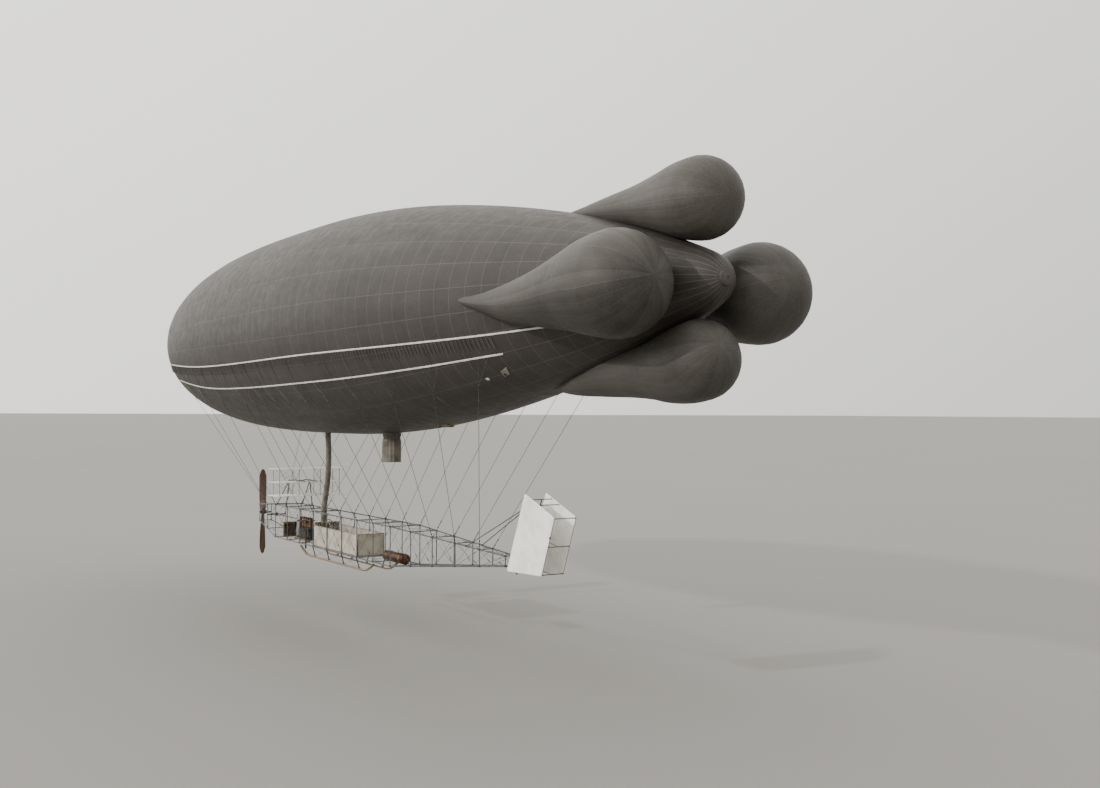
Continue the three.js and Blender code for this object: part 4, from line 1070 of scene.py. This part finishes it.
def exhaust():
    pipe = Form(ENGINE_FLOOR + Vector((0, 0.36, 0.95)))
    pipe.sweep([(1.41, 0, 0), (0.3, 0, 0), (0.19, 0, -0.015), (0.15, 0, -0.06), (0.14, 0, -0.15),
                (0.14, 0, -1.39 - FRAME_TUBE)], 0.044, 16)
    for x in CYLINDERS:
        pipe.sweep([(x, -0.214, 0), (x, -0.1, 0), (x - 0.02, -0.01, 0)], 0.034, 12)
        pipe.turned([(0, 0.05), (0.015, 0.05), (0.018, 0.036)], (x, -0.213, 0), Y, 16)
    for place, way in ((X * 1.2, X), (X * 0.5, X), (X * 0.14 - Z * 0.75, Z)):
        pipe.turned([(-0.012, 0.052), (0.012, 0.052)], place, way, 16)
    piece("exhaust", pipe, RUSTED, "exhaust_pipe")


def radiator():
    cooler = Form((RADIATOR["rear"], 0, DECK))
    high = SHAFT["z"] - 0.22 - DECK
    for ys, zs in (((-0.5, 0.5), (0, 0.09)), ((-0.5, 0.5), (high - 0.1, high)), ((-0.5, -0.47), (0, high)),
                   ((0.47, 0.5), (0, high))):
        cooler.box((0, 0.16), ys, zs)
    for i in range(RADIATOR["fins"]):
        z = 0.1 + (high - 0.21) * i / (RADIATOR["fins"] - 1)
        cooler.box((0.01, 0.15), (-0.475, 0.475), (z, z + 0.006), 1)
    for i in range(RADIATOR["tubes"]):
        y = -0.45 + 0.9 * i / (RADIATOR["tubes"] - 1)
        cooler.rod((0.08, y, 0.05), (0.08, y, high - 0.05), 0.014, 10, 1)
    cooler.turned([(0, 0.05), (0.03, 0.05), (0.04, 0.03)], (0.08, 0.3, high - 0.012), Z, 16)
    piece("radiator_core", cooler, [BRASS, COPPER], "radiator", bevel=0.001)


def fuel_tank():
    tank = Form((TANK["rear"], 0, DECK + 0.25))
    end = [(0, 0.001), (0.005, 0.15), (0.02, 0.22), (0.035, 0.237), (0.06, 0.248)]
    tank.turned(end + [(TANK["length"] - x, radius) for x, radius in end[::-1]], ORIGIN, X, 48)
    for x in (0.35, 1.05, 1.75):
        tank.turned([(-0.03, 0.247), (-0.028, 0.253), (0.028, 0.253), (0.03, 0.247)], X * x, X, 48, 1)
    for x in (0.7, 1.4):
        tank.turned([(-0.006, 0.249), (0, 0.2505), (0.006, 0.249)], X * x, X, 48)
    tank.turned([(0, 0.06), (0.012, 0.06), (0.018, 0.05), (0.018, 0.001)], (1.5, 0, 0.243), Z, 20, 1)
    piece("tank_shell", tank, [COPPER, BRASS], "fuel_tank")


def blower():
    """A drum with a spoked mouth on each side, and a square throat up to the duct."""
    form = Form(BLOWER)
    form.turned([(-0.14, 0.001), (-0.14, 0.12), (-0.115, 0.13), (-0.115, 0.31), (-0.105, 0.35), (-0.09, 0.36),
                 (0.09, 0.36), (0.105, 0.35), (0.115, 0.31), (0.115, 0.16), (0.14, 0.15), (0.14, 0.12),
                 (0.1, 0.11), (0.1, 0.001)], ORIGIN, Y, 48)
    bolts(form, Y * 0.112, Y, 0.325, 16, 0.009, 0.012, 1)
    form.rod(Y * -0.13, Y * 0.135, 0.025, 14, 1)
    for a in angles(6):
        arm = Vector((cos(a), 0, sin(a)))
        form.rod(Y * 0.118 + arm * 0.02, Y * 0.118 + arm * 0.13, 0.008, 6, 1)
    form.loft([[(0.24 + 0.12 * x, 0.12 * y, z) for x, y in octagon(0.7, 0.7)] for z in (0, 0.7, 0.705, 0.74)])
    for x in (-0.2, 0.16):
        form.box((x, x + 0.05), (-0.1, 0.1), (-0.42, -0.2), 1)
    piece("blower_case", form, [ALUMINIUM, IRON], "blower", bevel=0.001)


def air_duct():
    outlet = BLOWER + Vector((0.24, 0, 0.755))
    bend = (32.3, -0.2, -7)
    path = bezier([outlet, outlet + Z * 1.2, (32.6, -0.3, -8.4), bend], 40)
    path += bezier([bend, (32.05, -0.12, -5.9), (31.9, 0, -5.8), (31.9, 0, -5.2)], 26)[1:]
    duct = Form()
    duct.sweep(path, [0.146 + 0.006 * cos(TURN * i / 4) for i in range(len(path))], 32)
    for i in (1, len(path) - 3):
        duct.turned([(-0.02, 0.15), (0, 0.158), (0.02, 0.15)], path[i], path[i + 1] - path[i], 32, 1)
    piece("duct_fabric", duct, [NECK_CLOTH, ROPE], "air_duct", crease=70)


def bezier(points, count):
    """Points on a cubic curve from its four control points."""
    a, b, c, d = (Vector(p) for p in points)
    out = []
    for i in range(count + 1):
        t = i / count
        out.append(a * (1 - t) ** 3 + b * (3 * t * (1 - t) ** 2) + c * (3 * t * t * (1 - t)) + d * t ** 3)
    return out


def shaft_bearings():
    """A bearing on a beam across each of the girder's last two frames, with an oiler on top."""
    for name, bay in (("rear", 14), ("front", 15)):
        station = CAR_REAR + bay * BAY
        form = Form((station, 0, SHAFT["z"]))
        half = look_up(CAR_SHAPE, station) - FRAME_TUBE - 0.001
        for side in (PORT, STARBOARD):
            ys = sorted((side * 0.09, side * half))
            form.box(about(0, 0.028), ys, (-0.03, -0.02))
            form.box(about(0, 0.028), ys, (0.02, 0.03))
            form.box(about(0, 0.005), ys, about(0, 0.025))
        form.turned([(-0.055, 0.043), (-0.06, 0.06), (-0.05, 0.085), (-0.03, 0.1), (0.03, 0.1), (0.05, 0.085),
                     (0.06, 0.06), (0.055, 0.043)], ORIGIN, X, 32, looped=True)
        bolts(form, X * 0.04, X, 0.082, 6, 0.009, 0.012, 1)
        form.turned([(0.09, 0.014), (0.11, 0.014), (0.115, 0.009), (0.125, 0.009)], ORIGIN, Z, 12, 1)
        piece("bearing_" + name, form, [IRON, BRASS], "shaft_bearing_" + name, bevel=0.001)


def propeller_shaft():
    rear, collar = (SHAFT[key] - PROPELLER["station"] for key in ("rear", "collar"))
    plate = -HUB["half"]
    flange = plate - HUB["plate"]
    shaft = Form(HUB_PLACE)
    shaft.turned([(rear, 0.034), (collar, 0.034), (collar + 0.01, 0.05), (collar + 0.07, 0.05),
                  (collar + 0.08, 0.034), (plate - 0.12, 0.034), (plate - 0.06, 0.05), (flange, 0.06),
                  (flange, 0.165), (plate - 0.03, 0.17), (plate - 0.003, 0.17)], ORIGIN, X, 32)
    bolts(shaft, X * flange, -X, 0.13, 8, 0.014, 0.016, 1)
    piece("drive_shaft", shaft, [STEEL, IRON], "propeller_shaft", "propeller", bevel=0.001)


def propeller_blades():
    """Two blades with a camber and a twist to an even pitch, and the wooden hub between them."""
    blades = Form(HUB_PLACE)
    for sign in (1, -1):
        rings = []
        for i in range(49):
            out = 0.03 + 0.97 * i / 48
            r = out * PROPELLER["diameter"] / 2
            swell = 0.42 + 1.1 * sin(pi * min(out + 0.08, 1) * 0.86) - 0.42 * out ** 8
            tip = sqrt(max(1 - max((out - 0.94) / 0.06, 0) ** 2, 0.02))
            chord = PROPELLER["chord"] * min(swell, 1) * tip
            depth = PROPELLER["thickness"] * (1.6 - 1.3 * out) * (0.4 + 0.6 * tip)
            twist = atan2(PROPELLER["pitch"], TURN * max(r, 0.55))
            ring = []
            for a in angles(28):
                arch = 0.5 * sin(a) * (1 if sin(a) > 0 else 0.72)
                c, d = chord * cos(a) * 0.5, depth * arch * (1 - 0.25 * cos(a))
                ring.append((sign * (c * sin(twist) + d * cos(twist)), c * cos(twist) - d * sin(twist),
                             sign * r))
            rings.append(ring)
        blades.loft(rings)
    blades.turned([(-0.099, 0.155), (-0.085, 0.168), (0.085, 0.168), (0.099, 0.155)], ORIGIN, X, 48)
    piece("propeller_wood", blades, BLADE_WOOD, "propeller", "propeller", crease=50)


def propeller_boss():
    boss = Form(HUB_PLACE)
    front = X * HUB["half"]
    boss.turned([(0.001, 0.168), (0.025, 0.168), (0.035, 0.155), (0.035, 0.08), (0.04, 0.06)], front, X, 40)
    boss.turned([(0.03, 0.07), (0.075, 0.07), (0.092, 0.055), (0.095, 0.04)], front, X, 6)
    bolts(boss, front + X * 0.034, X, 0.125, 8, 0.014, 0.018)
    piece("boss_plate", boss, STEEL, "propeller_boss", "propeller", bevel=0.001)


# Elevator and rudder
def elevator_planes():
    """Three planes with cambered ribs, struts between them and crossed wires."""
    e = ELEVATOR
    planes = Form(e["hinge"])
    count = 104
    for rise in (-e["gap"], 0, e["gap"]):
        rings = []
        for i in range(count + 1):
            y = e["halfSpan"] * (2 * i / count - 1)
            near = abs((i / 8) % 1 - 0.5) * 2
            rib = 1 - 0.16 * (1 - near ** 6)
            end = 0.35 if i in (0, count) else 1
            section = [(0, 0), (0.008, 0.55), (0.03, 0.9), (0.12, 1), (0.4, 0.86 * rib), (0.7, 0.66 * rib),
                       (0.94, 0.4), (0.99, 0.3), (1, 0)]
            section += [(s, -t) for s, t in section[-2:0:-1]]
            rings.append([(e["front"] - e["chord"] * s, y, rise + e["half"] * t * end) for s, t in section])
        planes.loft(rings)
    for x in (e["front"] - 0.15, e["front"] - e["chord"] + 0.25):
        for y in (-1.7, -0.6, 0.6, 1.7):
            strut(planes, (x, y, -e["gap"]), (x, y, e["gap"]), 0.03, 0.014, 1)
        for a, b in ((-1.7, -0.6), (-0.6, -1.7), (0.6, 1.7), (1.7, 0.6)):
            for low in (-e["gap"], 0):
                planes.rod((x, a, low), (x, b, low + e["gap"]), 0.005, 6, 2)
    piece("elevator_canvas", planes, [WHITE_CANVAS, PLANK, CABLE], "elevator_planes", "elevator",
          crease=40)


def elevator_arms():
    """Two sleeves on the hinge tube, each with an arm along the top of the middle plane."""
    front, half = ELEVATOR["front"], ELEVATOR["half"]
    rear = front - ELEVATOR["chord"]
    arms = Form(ELEVATOR["hinge"])
    for y in (-0.35, 0.35):
        arms.turned([(-0.07, 0.041), (-0.07, 0.06), (-0.06, 0.065), (0.06, 0.065), (0.07, 0.06),
                     (0.07, 0.041)], Y * y, Y, 32, looped=True)
        arms.box((front + 0.002, -0.055), about(y, 0.028), about(0, 0.028))
        arms.box((rear + 0.1, front + 0.05), about(y, 0.028), (half + 0.003, half + 0.012))
        arms.box((rear + 0.1, front + 0.05), about(y, 0.006), (half + 0.003, half + 0.048))
        arms.box((front + 0.002, front + 0.058), about(y, 0.028), (0, half + 0.048))
        for i in range(6):
            bolts(arms, (rear + 0.2 + 0.2 * i, y + 0.018, half + 0.012), Z, 0, 1, 0.008, 0.01, 1)
    arms.rod((front + 0.06, -0.35, 0), (front + 0.06, 0.35, 0), 0.022, 16)
    piece("elevator_brackets", arms, [STEEL, BRASS], "elevator_arms", "elevator", bevel=0.001)


def elevator_masts():
    masts = Form()
    heads = [ELEVATOR["hinge"] + Y * (side * ELEVATOR["mast"]) for side in (PORT, STARBOARD)]
    masts.rod(*heads[::-1], 0.031, 24)
    for head, side in zip(heads, (PORT, STARBOARD)):
        for x, radius in ((head.x, 0.031), (head.x + 1.5, 0.025)):
            foot = car_point(x, side, 3)
            clamp(masts, foot, 1)
            foot += (head - foot).normalized() * 0.03
            masts.rod(foot, head, radius, 16)
            masts.turned([(-0.02, radius + 0.004), (0, radius + 0.01), (0.12, radius + 0.01), (0.13, radius)],
                         foot, head - foot, 16, 1)
        masts.turned([(-0.05, 0.05), (-0.045, 0.056), (0.03, 0.056), (0.035, 0.05)], head, Y * side, 20, 1)
    piece("mast_tubes", masts, [STEEL, IRON], "elevator_masts", bevel=0.001)


def clamp(form, place, mark):
    """A collar on one of the car's longerons."""
    side = copysign(1, place.y)
    along = car_point(place.x + 0.1, side, 3) - place
    form.turned([(-0.06, 0.03), (-0.06, 0.04), (0.06, 0.04), (0.06, 0.03)], place, along, 16, mark,
                looped=True)


def strut(form, start, end, chord, thick, mark=0):
    """A strut with a streamlined section, its chord along X."""
    section = [(0.5, 0), (0.4, 0.6), (0.15, 1), (-0.15, 0.85), (-0.45, 0.3), (-0.5, 0)]
    ring = section + [(x, -y) for x, y in section[-2:0:-1]]
    form.loft([[(a + x * 2 * chord, b + y * thick, c) for x, y in ring] for a, b, c in (start, end)], mark)


def rudder_edge(start, end, share, y=0.0):
    """A point on the way from one corner of the rudder's outline to another."""
    a, b = RUDDER[start], RUDDER[end]
    return Vector(mix((a[0], y, a[1]), (b[0], y, b[1]), share))


def lead(share, y=0.0):
    return rudder_edge("lowLead", "topLead", share, y)


def trail(share, y=0.0):
    return rudder_edge("lowTrail", "topTrail", share, y)


def rudder_frame():
    """Tubes between the two planes: sleeves on the post, spars, and spreaders across."""
    rise = (lead(1) - lead(0)).normalized()
    inner = Y * (RUDDER["offset"] - RUDDER["plate"] / 2)
    frame = Form()
    crossings = [rudder_edge("topLead", "topTrail", share) - Z * 0.045 for share in (0.22, 0.45, 0.985)]
    spar, sleeves = [], [lead(0.78)]
    for low, high in ((0.09, 0.02), (0.5, 0.5)):
        start, end = lead(low), trail(high) + X * 0.03
        spar.append(start.lerp(end, 0.22))
        crossings += [spar[-1], end]
        sleeves.append(start)
        frame.rod(start, spar[-1], 0.021, 16)
        frame.rod(spar[-1], end, 0.018, 16, 2)
    frame.rod(spar[0], crossings[0], 0.024, 16)
    frame.rod(sleeves[0], spar[0].lerp(crossings[0], 0.78), 0.021, 16)
    for point in crossings:
        frame.rod(point - inner, point + inner, 0.019, 16)
        for side in (PORT, STARBOARD):
            frame.turned([(0, 0.028), (0.02, 0.026), (0.024, 0.02)], point + inner * side, -Y * side, 16, 1)
    for point in sleeves:
        frame.turned([(-0.12, 0.05), (-0.115, 0.065), (0.115, 0.065), (0.12, 0.05)], point, rise, 28, 1)
        frame.turned([(-0.16, 0.052), (-0.122, 0.058)], point, rise, 24, 1)
    piece("rudder_tubes", frame, [STEEL, IRON, CAR_CANVAS], "rudder_frame", "rudder",
          bevel=0.001)


def rudder_post():
    """The leaning post, its two brackets on the car's tail and two braces to the longerons."""
    line = lead(1) - lead(0)
    rise = line.normalized()
    post = Form()
    low, high = (share * line.length for share in RUDDER["post"])
    post.turned([(low, 0.028), (low + 0.01, 0.039), (high - 0.01, 0.039), (high, 0.028)], lead(0), rise, 28)
    stern = CAR_REAR - FRAME_TUBE - 0.001
    head = lead(0.87)
    struts = [(Vector((lead(0.005).x, 0, CAR_SHAPE[0][2])), Vector((stern, 0, CAR_SHAPE[0][2])), 0.029),
              (lead(0.22), Vector((stern, 0, CAR_SHAPE[0][3])), 0.029)]
    for side in (PORT, STARBOARD):
        foot = car_point(RUDDER["braceFoot"], side, 3)
        clamp(post, foot, 1)
        struts.append((head, foot, 0.021))
    for start, stop, radius in struts:
        post.rod(start, stop, radius, 16)
        way = (stop - start).normalized()
        post.turned([(-0.1, radius + 0.003), (-0.02, radius + 0.007), (0, radius)], stop, way, 16, 1)
    post.turned([(-0.06, 0.05), (0.06, 0.05)], head, rise, 20, 1)
    piece("rudder_stern_post", post, [STEEL, IRON], "rudder_post", bevel=0.001)


def rudder_planes():
    """Two covered planes with sewn ribs and stitches on both faces, and a horn on the port one."""
    half = RUDDER["plate"] / 2
    corners = [Vector(RUDDER[key]) for key in ("topLead", "topTrail", "lowTrail", "lowLead")]
    rim = rounded(corners, 0.1, 5)
    middle = sum(corners, Vector((0, 0))) / 4
    # which face, share of the way from the middle to the rim, share of the thickness
    layers = [(1, 0.004, 0.86), (1, 0.2, 0.86), (1, 0.94, 0.9), (1, 0.968, 0.99), (0.75, 0.99, 1)]
    layers = [(-face, *row) for face, *row in layers] + [(0, 1, 1)] + layers[::-1]
    for label, side in SIDES:
        plane = Form()
        y = side * RUDDER["offset"]
        rings = []
        for face, share, thick in layers:
            spots = [middle.lerp(p, share) for p in rim]
            rings.append([(x, y + face * half * thick, z) for x, z in spots])
        plane.loft(rings)
        for level in (0.04, 0.27, 0.5, 0.73, 0.96):
            a, b = lead(level, y), trail(level, y)
            for out in (-1, 1):
                way = Y * (out * (half - 0.006))
                plane.sweep([a.lerp(b, 0.02) + way, a.lerp(b, 0.98) + way], 0.007)
                for i in range(16):
                    stitch = a.lerp(b, 0.04 + 0.92 * i / 15) + Y * (out * (half - 0.0005))
                    plane.box(about(stitch.x, 0.012), sorted((stitch.y, stitch.y + out * 0.0015)),
                              about(stitch.z, 0.003), 1)
        plane.rod(trail(0.01, y), trail(0.99, y), 0.01, 10, 2)
        plane.rod(trail(0.01, y), lead(0.01, y), 0.008, 10, 2)
        if side == PORT:
            horn = trail(0.66, y)
            plane.box((horn.x - 0.012, horn.x + 0.05), about(y, half + 0.004), about(horn.z, 0.04), 2)
        piece("rudder_canvas_" + label, plane, [WHITE_CANVAS, ROPE, IRON],
              "rudder_plane_" + label, "rudder", crease=45)


def rounded(corners, radius, steps):
    """A closed outline with its corners rounded and each side split in eight."""
    out = []
    for i, corner in enumerate(corners):
        before, after = corners[i - 1], corners[(i + 1) % len(corners)]
        start = corner + (before - corner).normalized() * radius
        end = corner + (after - corner).normalized() * radius
        for k in range(steps + 1):
            t = k / steps
            out.append(start * (1 - t) ** 2 + corner * (2 * t * (1 - t)) + end * t * t)
        stop = after + (corner - after).normalized() * radius
        out += [end.lerp(stop, k / 8) for k in range(1, 8)]
    return out


# Stage, light and camera
def stage():
    bpy.ops.mesh.primitive_plane_add(size=2 * FLOOR_REACH, location=(0, 0, FLOOR_HEIGHT))
    floor = bpy.context.object
    floor.name = "floor"
    plain = Finish("pale_floor", Roughness=0.9)
    cloud = plain.noise(0.05, 2)
    floor.data.materials.append(plain.set(plain.blend(cloud, tone("817f7b"), tone("868480"))))

    world = bpy.data.worlds.new("sky")
    bpy.context.scene.world = world
    world.use_nodes = True
    tree = world.node_tree
    sky = tree.nodes["Background"]
    sky.inputs["Color"].default_value = tone("f4f2ee")
    way = new_node(tree, "TexCoord", output="Generated")
    along = new_node(tree, "VectorMath", {0: way, 1: Vector(LIGHT["from"]).normalized()}, "Value",
                     operation="DOT_PRODUCT")
    level = new_node(tree, "Math", {0: along, 1: LIGHT["slope"], 2: LIGHT["level"]},
                     operation="MULTIPLY_ADD")
    least = new_node(tree, "Math", {0: level, 1: LIGHT["least"]}, operation="MAXIMUM")
    tree.links.new(least, sky.inputs["Strength"])

    sun = bpy.data.lights.new("soft_sun", "SUN")
    sun.energy = SUN["energy"]
    sun.angle = radians(SUN["spread"])
    sun.color = (1.0, 0.98, 0.95)
    lamp = bpy.data.objects.new("soft_sun", sun)
    bpy.context.scene.collection.objects.link(lamp)
    lamp.rotation_euler = Vector(SUN["from"]).to_track_quat("Z", "Y").to_euler()


def camera():
    yaw, pitch, roll = (radians(CAMERA[key]) for key in ("yaw", "pitch", "roll"))
    ahead = Vector((cos(pitch) * cos(yaw), cos(pitch) * sin(yaw), sin(pitch)))
    right = Vector((sin(yaw), -cos(yaw), 0))
    up = right.cross(ahead)
    across = right * cos(roll) + up * sin(roll)
    upward = up * cos(roll) - right * sin(roll)
    lens = bpy.data.cameras.new("camera")
    lens.sensor_width = SENSOR
    lens.lens = SENSOR * LENS_PIXELS / PHOTO_WIDTH
    lens.clip_end = 4 * FLOOR_REACH
    eye = bpy.data.objects.new("camera", lens)
    bpy.context.scene.collection.objects.link(eye)
    turn = Matrix((across, upward, -ahead)).transposed().to_4x4()
    eye.matrix_world = Matrix.Translation(CAMERA["place"]) @ turn
    bpy.context.scene.camera = eye


camera()
stage()
envelope()
for row in LOBES:
    lobe(*row)
for label, side in SIDES:
    nodes = [f"suspension_{group}_{label}" for group in ("aft", "mid", "fore")]
    piece("belts_" + label, belts().on(side), [WEBBING, DARK_WEBBING_AND_PAINTED_SHADOW], nodes, crease=60)
    piece("stays_" + label, stays().on(side), [CABLE, IRON], nodes)
neck_sleeve()
end_caps()
for row in VALVES:
    gas_valve(*row)
side_valve()
belly_fittings()
for row in GIRDERS:
    girder(*row)
pit()
crew_bench()
for row in HAND_WHEELS:
    hand_wheel(*row)
for row in SIDES:
    landing_skid(*row)
engine_bed()
engine()
gearbox()
exhaust()
radiator()
fuel_tank()
blower()
air_duct()
shaft_bearings()
propeller_shaft()
propeller_blades()
propeller_boss()
elevator_planes()
elevator_arms()
elevator_masts()
rudder_frame()
rudder_post()
rudder_planes()
